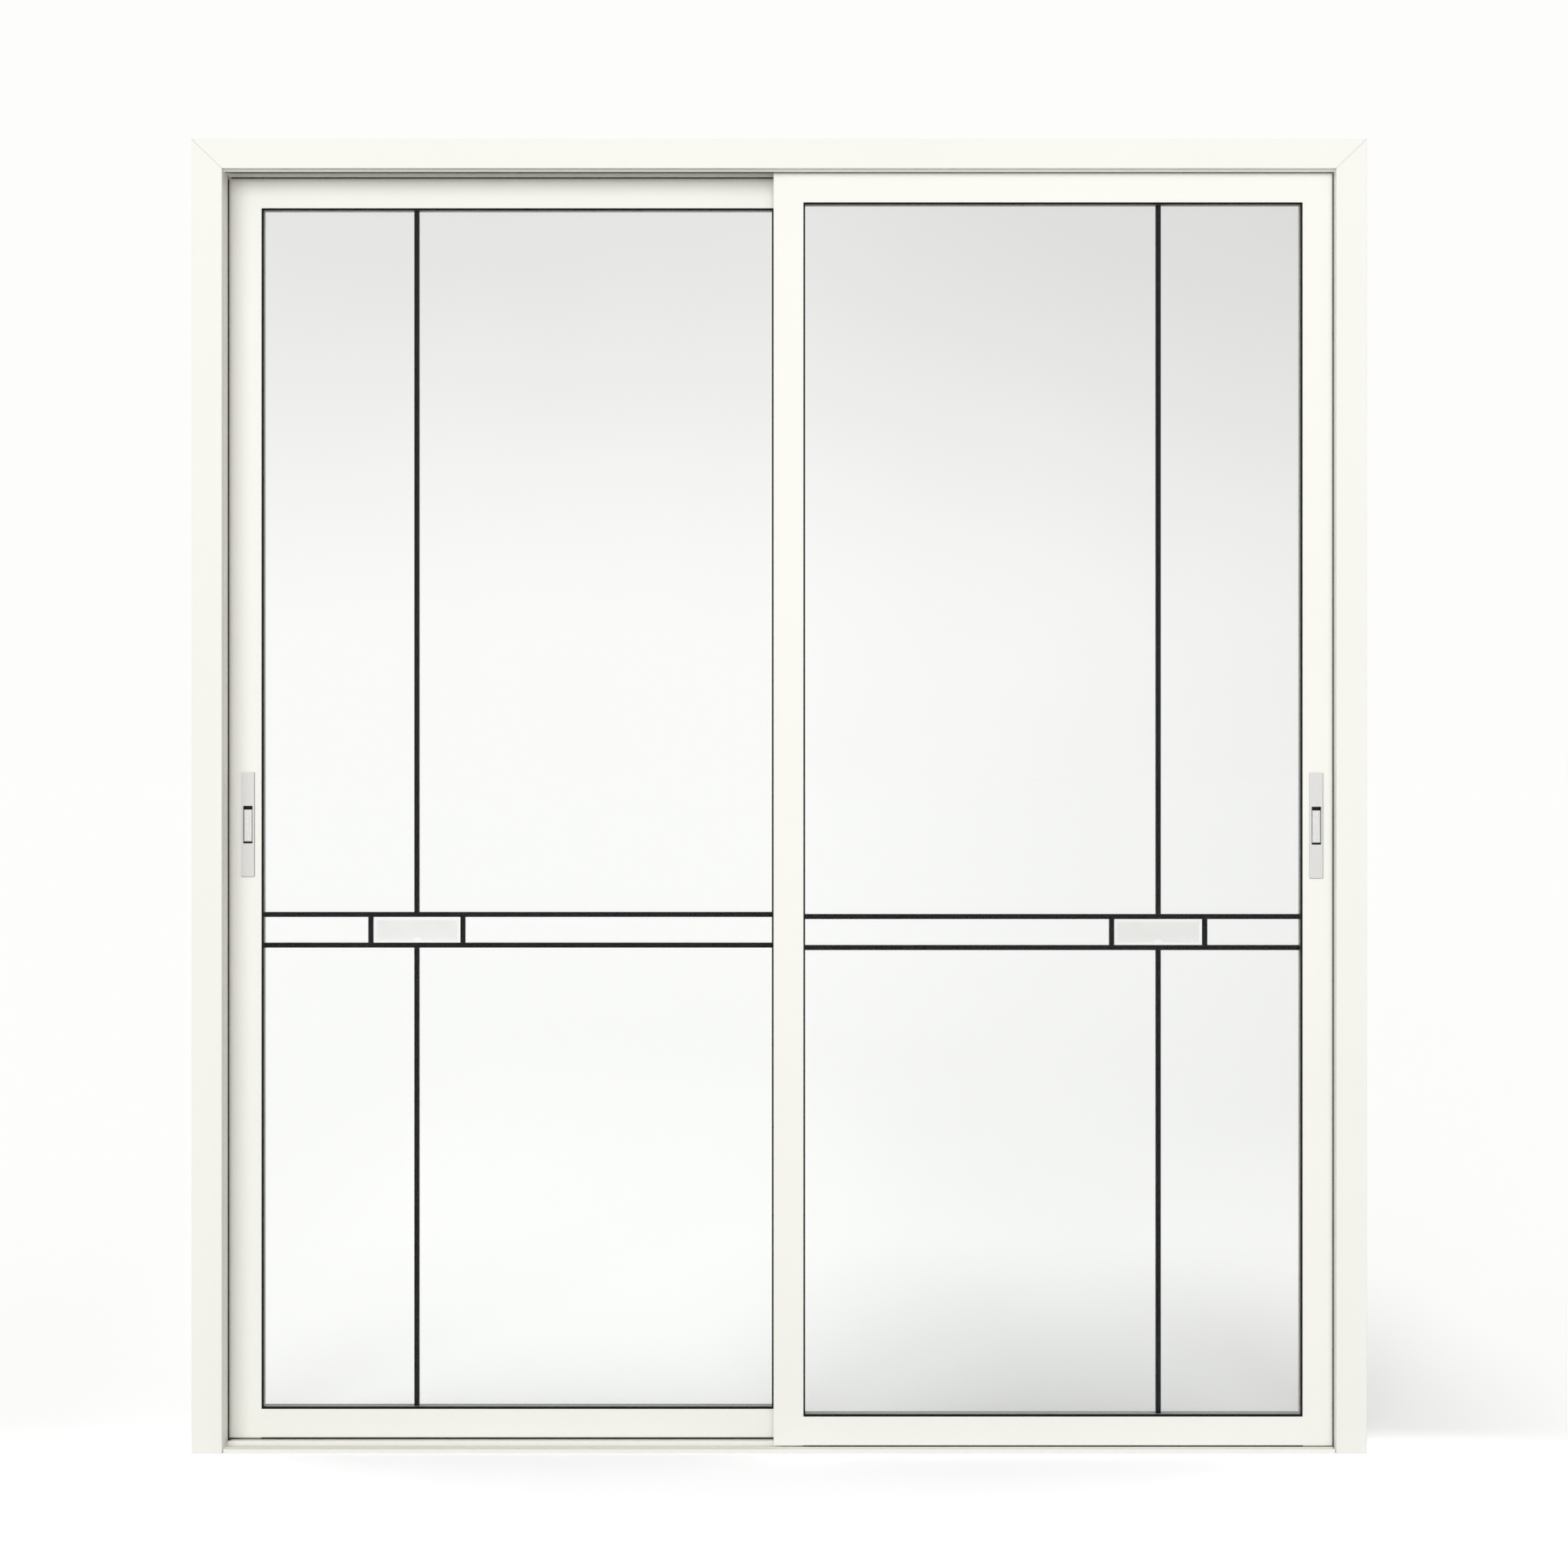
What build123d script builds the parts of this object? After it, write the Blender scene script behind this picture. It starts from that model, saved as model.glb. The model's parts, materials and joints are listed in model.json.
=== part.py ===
from build123d import *
from dataclasses import dataclass
from math import radians, tan
import os

# A two-leaf glass door that slides in its own lining. Units are millimetres.
# The origin is on the floor, midway between the jambs and midway through the wall.
# +X is to the right, +Y is away from the viewer, +Z is up.

# Doorway between the casings, and the casings around it
opening_width = 1780.0
opening_height = 2053.0
casing_width = 49.0
casing_head_width = 47.0
casing_thickness = 10.0
casing_wall = 1.8
casing_rib = 1.6
casing_edge_radius = 1.5

# Lining of jambs and head: a web with two hollow lips and a middle fin that make two channels
channel_width = 45.0
channel_depth = 22.0
lip_thickness = 10.0
lip_wall = 1.8
fin_thickness = 4.0
web_thickness = 3.0
fin_tip_radius = 0.8
jamb_fin_recess = 4.8
head_lip_drop = 2.4
head_fin_drop = 0.2
cover_sheet = 2.0
cover_fit = 0.2
fixing_hole_radius = 3.0
jamb_fixing_height = 1050.0
jamb_fixing_spacing = 1500.0
head_fixing_spacing = 1200.0

# Sill on the floor, with a beaded rail in each track
sill_plate = 1.2
sill_set_back = 3.0
sill_lip = 3.0
sill_nose_height = 6.3
sill_lip_height = 5.5
sill_middle_height = 4.5
sill_end_gap = 1.5
sill_seat_gap = 0.2
rail_web = 3.0
rail_bead_radius = 2.25
rail_height = 9.3
sill_hole_radius = 2.5
sill_hole_spacing = 1400.0
sill_hole_offset = 12.5

# Sliding leaves
leaf_thickness = 35.0
leaf_bite = 10.0
leaf_head_bite = 12.0
leaf_floor_gap = 6.2
lock_stile_width = 59.0
meeting_stile_width = 48.0
top_rail_width = 61.5
bottom_rail_width = 46.3
meeting_line = 15.0
frame_wall = 2.0
leaf_edge_radius = 1.0
pocket_depth = 10.0
pocket_lip = 2.5
running_clearance = 5.0

# Glazing: two panes with a spacer between them, held by a gasket on each side
pane_thickness = 5.0
cavity = 12.0
glass_bite = 8.0
gasket_sight = 2.8
gasket_back_sight = 0.8
gasket_tail = 6.0
gasket_recess = 0.8
gasket_bevel = 0.5
spacer_sight = 2.2

# Bars in the cavity: a band of two bars, two uprights and a small box around a glass tile
bar_width = 8.0
bar_depth = 8.0
bar_edge_radius = 0.8
band_height = 830.0
band_spacing = 50.0
box_length = 158.0
rear_upright_inset = 250.5
front_upright_inset = 230.0
tile_rim = 3.0
tile_bevel_angle = 60.0

# Handle plates on both faces of each lock stile, and the sliding latch in their windows
plate_width = 22.0
plate_height = 170.0
plate_thickness = 1.0
plate_corner_radius = 1.5
plate_middle_height = 1002.0
plate_inset = 37.1
window_width = 15.0
window_height = 61.0
cup_wall = 1.0
cup_depth = 10.0
cup_clearance = 0.3
latch_height = 52.0
latch_side_gap = 0.8
latch_lower_gap = 3.0
latch_recess = 0.4
latch_seat_gap = 0.3
latch_edge_radius = 1.2
latch_travel = 5.0
latch_tie_width = 6.0
latch_tie_height = 24.0
latch_tie_gap = 0.3

# Running gear in the bottom rail and guides on the top of the stiles
wheel_radius = 12.0
wheel_width = 9.0
wheel_hub_radius = 6.0
groove_clearance = 0.3
axle_radius = 2.5
axle_clearance = 0.1
axle_head_radius = 4.0
axle_head_length = 1.0
hub_clearance = 0.3
bracket_sheet = 1.5
bracket_length = 60.0
bracket_cheek_top = 4.0
bracket_nose_radius = 8.0
bracket_fit = 0.3
roller_inset = 120.0
guide_clearance = 1.0
guide_length_inset = 5.0
guide_flange = 2.0
guide_block = 3.0
cap_fit = 0.3
top_cap_depth = 12.0
bottom_cap_depth = 24.0

# Interlock between the meeting stiles, pile seals and rubber stops
interlock_thickness = 3.0
interlock_reach = 8.0
interlock_base_width = 9.0
interlock_base_thickness = 1.5
interlock_gap = 7.0
pile_width = 6.0
pile_clearance = 0.5
pile_end_gap = 1.0
jamb_pile_show = 2.2
head_pile_show = 1.1
fin_pile_show = 2.5
fin_pile_set_back = 5.0
stop_thickness = 6.0
stop_width = 24.0
stop_height = 40.0
stop_edge_radius = 2.0
stop_low = 150.0
stop_high = 1900.0

# Sizes that follow
half_opening = opening_width / 2
lining_depth = 2 * channel_width + 2 * lip_thickness + fin_thickness
half_depth = lining_depth / 2
web_face = half_opening + channel_depth
lining_half_width = web_face + web_thickness
head_web_face = opening_height + channel_depth
lining_height = head_web_face + web_thickness
outer_half_width = half_opening + casing_width
outer_height = opening_height + casing_head_width
jamb_fin_tip = half_opening + jamb_fin_recess
head_lip_tip = opening_height - head_lip_drop
head_fin_tip = opening_height - head_fin_drop
track_offset = (channel_width + fin_thickness) / 2
leaf_bottom = leaf_floor_gap
leaf_top = opening_height + leaf_head_bite
pocket_width = leaf_thickness - 2 * pocket_lip
pane_face = cavity / 2 + pane_thickness
daylight_bottom = leaf_bottom + bottom_rail_width
daylight_top = leaf_top - top_rail_width
bead_height = rail_height - rail_bead_radius
wheel_height = bead_height + wheel_radius
notch_half_width = rail_bead_radius + running_clearance
notch_top = rail_height + running_clearance


@dataclass
class Leaf:
    """One sliding leaf: its name, the side of its lock stile, and its track."""

    name: str
    side: int
    track: float
    upright_inset: float

    @property
    def lock_edge(self):
        return self.side * (half_opening + leaf_bite)

    @property
    def lock_inner(self):
        return self.lock_edge - self.side * lock_stile_width

    @property
    def meeting_edge(self):
        return meeting_line - self.side * meeting_stile_width / 2

    @property
    def meeting_inner(self):
        return meeting_line + self.side * meeting_stile_width / 2

    @property
    def left(self):
        return min(self.lock_inner, self.meeting_inner)

    @property
    def right(self):
        return max(self.lock_inner, self.meeting_inner)

    @property
    def middle(self):
        return (self.left + self.right) / 2

    @property
    def upright(self):
        return self.lock_inner - self.side * self.upright_inset

    @property
    def plate(self):
        return self.lock_edge - self.side * plate_inset


rear = Leaf("rear", -1, track_offset, rear_upright_inset)
front = Leaf("front", 1, -track_offset, front_upright_inset)


def save(piece, name):
    """Label a finished piece and write it to its own file."""
    piece.part.label = name
    export_step(piece.part, f"parts/{name}.step")


def mitre_plane(side, inner_height, run, rise):
    """Mitre plane from an inner top corner, cut for an upright and a head of each width."""
    return Plane(origin=(side * half_opening, 0, inner_height), z_dir=(-side * rise, 0, run))


def lining_mitre(side):
    """Mitre plane between a jamb and the head, whose lips hang a little lower."""
    run = lining_half_width - half_opening
    return mitre_plane(side, head_lip_tip, run, lining_height - head_lip_tip)


def lining_section(lip_tip, fin_tip):
    """Lining profile: first axis outwards from the doorway, second across the wall."""
    reach = channel_depth + web_thickness
    lip_line = half_depth - lip_thickness / 2
    lip_middle = (lip_tip + reach) / 2
    lips = ((lip_middle, -lip_line), (lip_middle, lip_line))
    with Locations((channel_depth + web_thickness / 2, 0)):
        Rectangle(web_thickness, lining_depth)
    with Locations(*lips):
        Rectangle(reach - lip_tip, lip_thickness)
    fillet(vertices().group_by(Axis.X)[0], fin_tip_radius)
    with Locations(*lips):
        Rectangle(reach - lip_tip - 2 * lip_wall, lip_thickness - 2 * lip_wall, mode=Mode.SUBTRACT)
    with Locations(((fin_tip + reach) / 2, 0)):
        Rectangle(reach - fin_tip, fin_thickness)


def make_jamb(side, name):
    """Jamb from the floor to its mitre with the head, with fixing holes in both channels."""
    section_plane = Plane(origin=(side * half_opening, 0, 0), x_dir=(side, 0, 0), z_dir=(0, 0, 1))
    fixing_plane = Plane(
        origin=(side * web_face, 0, jamb_fixing_height), x_dir=(0, 1, 0), z_dir=(-side, 0, 0)
    )
    with BuildPart() as jamb:
        with BuildSketch(section_plane):
            lining_section(0, jamb_fin_recess)
        extrude(amount=lining_height)
        split(bisect_by=lining_mitre(side), keep=Keep.BOTTOM)
        with Locations(fixing_plane):
            with GridLocations(2 * track_offset, jamb_fixing_spacing / 2, 2, 3):
                Hole(fixing_hole_radius, depth=web_thickness)
    save(jamb, name)


def make_head():
    """Head of the lining, mitred to both jambs."""
    section_plane = Plane(origin=(0, 0, opening_height), x_dir=(0, 0, 1), z_dir=(1, 0, 0))
    fixing_plane = Plane(origin=(0, 0, head_web_face), x_dir=(1, 0, 0), z_dir=(0, 0, -1))
    with BuildPart() as head_track:
        with BuildSketch(section_plane):
            lining_section(-head_lip_drop, -head_fin_drop)
        extrude(amount=lining_half_width, both=True)
        split(bisect_by=lining_mitre(-1), keep=Keep.TOP)
        split(bisect_by=lining_mitre(1), keep=Keep.TOP)
        with Locations(fixing_plane):
            with GridLocations(head_fixing_spacing, 2 * track_offset, 2, 2):
                Hole(fixing_hole_radius, depth=web_thickness)
    save(head_track, "head_track")


def make_jamb_covers():
    """Folded strips that close the jamb channel which no leaf enters, one in each jamb."""
    cover_width = channel_width - 2 * cover_fit
    leg_line = (cover_width - cover_sheet) / 2
    leg_length = web_face - jamb_fin_tip - cover_fit
    low = sill_plate + cover_fit
    with BuildPart() as jamb_covers:
        for side, track in ((-1, front.track), (1, rear.track)):
            face_x = side * jamb_fin_tip
            with BuildSketch(Plane(origin=(face_x, track, low), x_dir=(side, 0, 0), z_dir=(0, 0, 1))):
                with Locations((cover_sheet / 2, 0)):
                    Rectangle(cover_sheet, cover_width)
                with Locations((leg_length / 2, -leg_line), (leg_length / 2, leg_line)):
                    Rectangle(leg_length, cover_sheet)
            extrude(amount=head_web_face - cover_fit - low)
    save(jamb_covers, "jamb_covers")


def casing_section(width):
    """Hollow casing profile: first axis outwards from the doorway, second off the wall."""
    with Locations((width / 2, casing_thickness / 2)):
        Rectangle(width, casing_thickness)
    fillet(vertices().group_by(Axis.Y)[-1], casing_edge_radius)
    cell_width = (width - 2 * casing_wall - casing_rib) / 2
    cell_offset = (cell_width + casing_rib) / 2
    with Locations((width / 2, casing_thickness / 2)):
        with GridLocations(2 * cell_offset, 1, 2, 1):
            Rectangle(cell_width, casing_thickness - 2 * casing_wall, mode=Mode.SUBTRACT)


def make_casings(face, face_name):
    """Two legs and a head on one face of the wall, mitred at the corners."""
    wall_y = face * half_depth
    widths = (casing_width, casing_head_width)
    mitres = [mitre_plane(side, opening_height, *widths) for side in (-1, 1)]
    for side, side_name, mitre in ((-1, "left", mitres[0]), (1, "right", mitres[1])):
        leg_plane = Plane(
            origin=(side * half_opening, wall_y, 0), x_dir=(side, 0, 0), z_dir=(0, 0, side * face)
        )
        with BuildPart() as leg:
            with BuildSketch(leg_plane):
                casing_section(casing_width)
            extrude(amount=side * face * outer_height)
            split(bisect_by=mitre, keep=Keep.BOTTOM)
        save(leg, f"casing_{face_name}_{side_name}")
    head_plane = Plane(origin=(0, wall_y, opening_height), x_dir=(0, 0, 1), z_dir=(-face, 0, 0))
    with BuildPart() as head:
        with BuildSketch(head_plane):
            casing_section(casing_head_width)
        extrude(amount=outer_half_width, both=True)
        for mitre in mitres:
            split(bisect_by=mitre, keep=Keep.TOP)
    save(head, f"casing_{face_name}_head")


def make_sill():
    """Sill plate with nosings, lips and two beaded rails, tongued into the jamb channels."""
    sill_end = half_opening - sill_end_gap
    tongue_end = web_face - sill_seat_gap
    tongue_width = channel_width - 2 * sill_end_gap
    sill_depth = lining_depth + 2 * (casing_thickness - sill_set_back)
    nose_line = (sill_depth - sill_lip) / 2
    lip_line = half_depth - lip_thickness + sill_lip / 2
    upstands = [
        (-nose_line, sill_lip, sill_nose_height),
        (-lip_line, sill_lip, sill_lip_height),
        (0, fin_thickness, sill_middle_height),
        (lip_line, sill_lip, sill_lip_height),
        (nose_line, sill_lip, sill_nose_height),
    ]
    with BuildPart() as sill_track:
        with BuildSketch(Plane(origin=(0, 0, 0), x_dir=(0, 1, 0), z_dir=(1, 0, 0))):
            with Locations((0, sill_plate / 2)):
                Rectangle(sill_depth, sill_plate)
            for line, thickness, height in upstands:
                with Locations((line, height / 2)):
                    Rectangle(thickness, height)
            fillet(vertices().filter_by(lambda v: v.Y > sill_middle_height / 2), fin_tip_radius)
            with Locations((rear.track, bead_height / 2), (front.track, bead_height / 2)):
                Rectangle(rail_web, bead_height)
            with Locations((rear.track, bead_height), (front.track, bead_height)):
                Circle(rail_bead_radius)
        extrude(amount=sill_end, both=True)
        with BuildSketch(Plane.XY):
            with Locations((0, rear.track), (0, front.track)):
                Rectangle(2 * tongue_end, tongue_width)
        extrude(amount=sill_plate)
        with Locations((0, 0, sill_plate)):
            with GridLocations(sill_hole_spacing, 2 * sill_hole_offset, 2, 2):
                Hole(sill_hole_radius, depth=sill_plate)
    save(sill_track, "sill_track")


def make_pile_seals():
    """Pile strips on the lips and the fin, where a leaf enters a jamb and along the head."""
    pile_height = (channel_width - leaf_thickness) / 2 - pile_clearance
    pile_line = (channel_width - pile_height) / 2
    low = sill_plate + pile_end_gap
    head_pile_tip = head_lip_tip - head_pile_show
    jamb_top = head_pile_tip - pile_end_gap
    lip_tip = half_opening - jamb_pile_show
    jamb_strips = [
        (1, front.track - pile_line, lip_tip),
        (1, front.track + pile_line, jamb_fin_tip + fin_pile_set_back),
        (-1, rear.track - pile_line, jamb_fin_tip - fin_pile_show),
        (-1, rear.track + pile_line, lip_tip),
    ]
    head_strips = [
        (front.track - pile_line, head_pile_tip),
        (front.track + pile_line, head_fin_tip + fin_pile_set_back),
        (rear.track - pile_line, head_fin_tip - fin_pile_show),
        (rear.track + pile_line, head_pile_tip),
    ]
    with BuildPart() as pile_seals:
        with BuildSketch(Plane.XY.offset(low)):
            for side, line, tip in jamb_strips:
                with Locations((side * (tip + pile_width / 2), line)):
                    Rectangle(pile_width, pile_height)
        extrude(amount=jamb_top - low)
        with BuildSketch(Plane(origin=(0, 0, 0), x_dir=(0, 1, 0), z_dir=(1, 0, 0))):
            for line, tip in head_strips:
                with Locations((line, tip + pile_width / 2)):
                    Rectangle(pile_height, pile_width)
        extrude(amount=half_opening - pile_end_gap, both=True)
    save(pile_seals, "pile_seals")


def make_stop_buffers():
    """Rubber stops, two in each jamb channel that a leaf enters when it closes."""
    spots = [
        (side * (web_face - stop_thickness / 2), track, height)
        for side, track in ((-1, rear.track), (1, front.track))
        for height in (stop_low, stop_high)
    ]
    with BuildPart() as stop_buffers:
        with Locations(*spots):
            Box(stop_thickness, stop_width, stop_height)
        fillet(edges().filter_by(Axis.X), stop_edge_radius)
    save(stop_buffers, "stop_buffers")


def glazed_section(width):
    """Hollow leaf profile: first axis from its outer edge to the pocket that holds the glass."""
    with Locations((width / 2, 0)):
        Rectangle(width, leaf_thickness)
    fillet(vertices().group_by(Axis.X)[0], leaf_edge_radius)
    chamber = width - pocket_depth - 2 * frame_wall
    with Locations((frame_wall + chamber / 2, 0)):
        Rectangle(chamber, leaf_thickness - 2 * frame_wall, mode=Mode.SUBTRACT)
    with Locations((width - pocket_depth / 2, 0)):
        Rectangle(pocket_depth, pocket_width, mode=Mode.SUBTRACT)


def stile_plane(edge_x, inward, track):
    """Plane at the foot of a stile, first axis from its outer edge towards the glass."""
    return Plane(origin=(edge_x, track, leaf_bottom), x_dir=(inward, 0, 0), z_dir=(0, 0, 1))


def make_lock_stile(leaf):
    """Stile at the jamb, cut for the handle cups and notched over the rail."""
    cut_width = window_width + 2 * (cup_wall + cup_clearance)
    cut_height = window_height + 2 * (cup_wall + cup_clearance)
    with BuildPart() as stile:
        with BuildSketch(stile_plane(leaf.lock_edge, -leaf.side, leaf.track)):
            glazed_section(lock_stile_width)
        extrude(amount=leaf_top - leaf_bottom)
        with Locations((leaf.plate, leaf.track, plate_middle_height)):
            Box(cut_width, leaf_thickness, cut_height, mode=Mode.SUBTRACT)
        with Locations((leaf.lock_inner, leaf.track, leaf_bottom)):
            Box(2 * lock_stile_width, 2 * notch_half_width, 2 * (notch_top - leaf_bottom),
                mode=Mode.SUBTRACT)
    save(stile, f"{leaf.name}_lock_stile")


def make_meeting_stile(leaf):
    """Stile where the two leaves meet, notched over the rail."""
    with BuildPart() as stile:
        with BuildSketch(stile_plane(leaf.meeting_edge, leaf.side, leaf.track)):
            glazed_section(meeting_stile_width)
        extrude(amount=leaf_top - leaf_bottom)
        with Locations((leaf.meeting_inner, leaf.track, leaf_bottom)):
            Box(2 * meeting_stile_width, 2 * notch_half_width, 2 * (notch_top - leaf_bottom),
                mode=Mode.SUBTRACT)
    save(stile, f"{leaf.name}_meeting_stile")


def make_top_rail(leaf):
    """Top rail between the stiles."""
    section_plane = Plane(
        origin=(leaf.left, leaf.track, leaf_top), x_dir=(0, 0, -1), z_dir=(1, 0, 0)
    )
    with BuildPart() as rail:
        with BuildSketch(section_plane):
            glazed_section(top_rail_width)
        extrude(amount=leaf.right - leaf.left)
    save(rail, f"{leaf.name}_top_rail")


def make_bottom_rail(leaf):
    """Bottom rail between the stiles: an open channel over the rollers, a pocket above it."""
    section_plane = Plane(
        origin=(leaf.left, leaf.track, leaf_bottom), x_dir=(0, 0, 1), z_dir=(1, 0, 0)
    )
    channel = bottom_rail_width - pocket_depth - frame_wall
    with BuildPart() as rail:
        with BuildSketch(section_plane):
            with Locations((bottom_rail_width / 2, 0)):
                Rectangle(bottom_rail_width, leaf_thickness)
            fillet(vertices().group_by(Axis.X)[0], leaf_edge_radius)
            with Locations((channel / 2, 0)):
                Rectangle(channel, pocket_width, mode=Mode.SUBTRACT)
            with Locations((bottom_rail_width - pocket_depth / 2, 0)):
                Rectangle(pocket_depth, pocket_width, mode=Mode.SUBTRACT)
        extrude(amount=leaf.right - leaf.left)
    save(rail, f"{leaf.name}_bottom_rail")


def glazing_plane(leaf, offset):
    """Upright plane at the middle of the daylight opening, facing the viewer."""
    height = (daylight_bottom + daylight_top) / 2
    return Plane(origin=(leaf.middle, leaf.track + offset, height), x_dir=(1, 0, 0), z_dir=(0, -1, 0))


def daylight(leaf, grow, mode=Mode.ADD):
    """Rectangle of the daylight opening, larger or smaller by one amount on every side."""
    Rectangle(
        leaf.right - leaf.left + 2 * grow, daylight_top - daylight_bottom + 2 * grow, mode=mode
    )


def make_panes(leaf):
    """Front and back panes, bedded in the pocket."""
    for face, face_name in ((-1, "front"), (1, "back")):
        middle = face * (cavity + pane_thickness) / 2
        with BuildPart() as pane:
            with BuildSketch(glazing_plane(leaf, middle)):
                daylight(leaf, glass_bite)
            extrude(amount=pane_thickness / 2, both=True)
        save(pane, f"{leaf.name}_glass_{face_name}")


def make_spacer(leaf):
    """Spacer frame that parts the panes, just behind the sight line of the front gasket."""
    with BuildPart() as spacer:
        with BuildSketch(glazing_plane(leaf, 0)):
            daylight(leaf, glass_bite)
            daylight(leaf, -spacer_sight, mode=Mode.SUBTRACT)
        extrude(amount=cavity / 2, both=True)
    save(spacer, f"{leaf.name}_spacer")


def make_gaskets(leaf):
    """Front and back glazing gaskets: a tail under the lip and a bevelled sight line."""
    lip_face = leaf_thickness / 2 - pocket_lip
    nose_face = leaf_thickness / 2 - gasket_recess
    with BuildPart() as gaskets:
        for face, sight in ((-1, gasket_sight), (1, gasket_back_sight)):
            with BuildSketch(glazing_plane(leaf, face * pane_face)):
                daylight(leaf, gasket_tail)
                daylight(leaf, -sight, mode=Mode.SUBTRACT)
            extrude(amount=-face * (lip_face - pane_face))
            with BuildSketch(glazing_plane(leaf, face * lip_face)):
                daylight(leaf, 0)
                daylight(leaf, -sight, mode=Mode.SUBTRACT)
            extrude(amount=-face * (nose_face - lip_face))
        for nose in (faces().sort_by(Axis.Y)[0], faces().sort_by(Axis.Y)[-1]):
            chamfer(nose.inner_wires()[0].edges(), gasket_bevel)
    save(gaskets, f"{leaf.name}_gaskets")


def make_bars(leaf):
    """Band bars, and the uprights above, below and either side of the box."""
    middle_height = (daylight_bottom + daylight_top) / 2
    band_lines = [band_height - band_spacing / 2, band_height + band_spacing / 2]
    band_inner = (band_spacing - bar_width) / 2
    band_outer = (band_spacing + bar_width) / 2
    with BuildPart() as band_bars:
        with BuildSketch(glazing_plane(leaf, 0)):
            with Locations(*[(0, line - middle_height) for line in band_lines]):
                Rectangle(leaf.right - leaf.left - 2 * spacer_sight, bar_width)
        extrude(amount=bar_depth / 2, both=True)
        fillet(edges().filter_by(Axis.X), bar_edge_radius)
    save(band_bars, f"{leaf.name}_band_bars")

    spans = [
        (leaf.upright, daylight_bottom + spacer_sight, band_height - band_outer),
        (leaf.upright, band_height + band_outer, daylight_top - spacer_sight),
    ]
    box_half = (box_length - bar_width) / 2
    for edge in (-1, 1):
        side_x = leaf.upright + edge * box_half
        spans.append((side_x, band_height - band_inner, band_height + band_inner))
    with BuildPart() as uprights:
        with BuildSketch(glazing_plane(leaf, 0)):
            for bar_x, low, high in spans:
                with Locations((bar_x - leaf.middle, (low + high) / 2 - middle_height)):
                    Rectangle(bar_width, high - low)
        extrude(amount=bar_depth / 2, both=True)
        fillet(edges().filter_by(Axis.Z), bar_edge_radius)
    save(uprights, f"{leaf.name}_uprights")


def make_box_tile(leaf):
    """Bevelled glass tile that fills the small box in the band."""
    tile_width = box_length - 2 * bar_width
    tile_height = band_spacing - bar_width
    bevel_depth = (bar_depth - tile_rim) / 2
    origin = (leaf.upright, leaf.track, band_height)
    with BuildPart() as tile:
        with BuildSketch(Plane(origin=origin, x_dir=(1, 0, 0), z_dir=(0, -1, 0))):
            Rectangle(tile_width, tile_height)
        extrude(amount=tile_rim / 2, both=True)
        for face in (faces().sort_by(Axis.Y)[0], faces().sort_by(Axis.Y)[-1]):
            extrude(face, amount=bevel_depth, taper=tile_bevel_angle)
    save(tile, f"{leaf.name}_box_tile")


def latch_middle():
    """Height of the middle of the latch at the foot of its travel."""
    return plate_middle_height - (window_height - latch_height) / 2 + latch_lower_gap


def make_handle_plate(leaf, face, name):
    """Plate on one face of the lock stile, with a cup behind its window and a slot in the cup."""
    stile_face = leaf.track + face * leaf_thickness / 2
    plate_plane = Plane(
        origin=(leaf.plate, stile_face, plate_middle_height), x_dir=(face, 0, 0), z_dir=(0, face, 0)
    )
    cup_bottom = cup_depth + cup_wall - plate_thickness
    slot_height = latch_tie_height + latch_travel + 2 * latch_tie_gap
    slot_rise = latch_middle() + latch_travel / 2 - plate_middle_height
    with BuildPart() as plate:
        with BuildSketch(plate_plane):
            RectangleRounded(plate_width, plate_height, plate_corner_radius)
        extrude(amount=plate_thickness)
        with BuildSketch(plate_plane):
            Rectangle(window_width + 2 * cup_wall, window_height + 2 * cup_wall)
        extrude(amount=-cup_bottom)
        with BuildSketch(plate_plane.offset(plate_thickness)):
            Rectangle(window_width, window_height)
        extrude(amount=-cup_depth, mode=Mode.SUBTRACT)
        with Locations((leaf.plate, stile_face, plate_middle_height + slot_rise)):
            Box(latch_tie_width + 2 * latch_tie_gap, leaf_thickness, slot_height,
                mode=Mode.SUBTRACT)
    save(plate, name)


def make_latch(leaf):
    """Slider block in each window, joined through the stile by a tie, at the foot of its travel."""
    latch_width = window_width - 2 * latch_side_gap
    block_face = leaf_thickness / 2 + plate_thickness - latch_recess
    block_back = leaf_thickness / 2 + plate_thickness - cup_depth + latch_seat_gap
    latch_plane = Plane(
        origin=(leaf.plate, leaf.track, latch_middle()), x_dir=(1, 0, 0), z_dir=(0, -1, 0)
    )
    with BuildPart() as latch:
        with BuildSketch(latch_plane):
            Rectangle(latch_width, latch_height)
        extrude(amount=block_face, both=True)
        with BuildSketch(latch_plane):
            Rectangle(2 * latch_width, 2 * latch_height)
            Rectangle(latch_tie_width, latch_tie_height, mode=Mode.SUBTRACT)
        extrude(amount=block_back, both=True, mode=Mode.SUBTRACT)
        for block_end in (faces().sort_by(Axis.Y)[0], faces().sort_by(Axis.Y)[-1]):
            fillet(block_end.edges(), latch_edge_radius)
    save(latch, f"{leaf.name}_latch")


def roller_spots(leaf):
    """Places of the two rollers along the bottom rail."""
    return (leaf.left + roller_inset, leaf.right - roller_inset)


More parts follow.
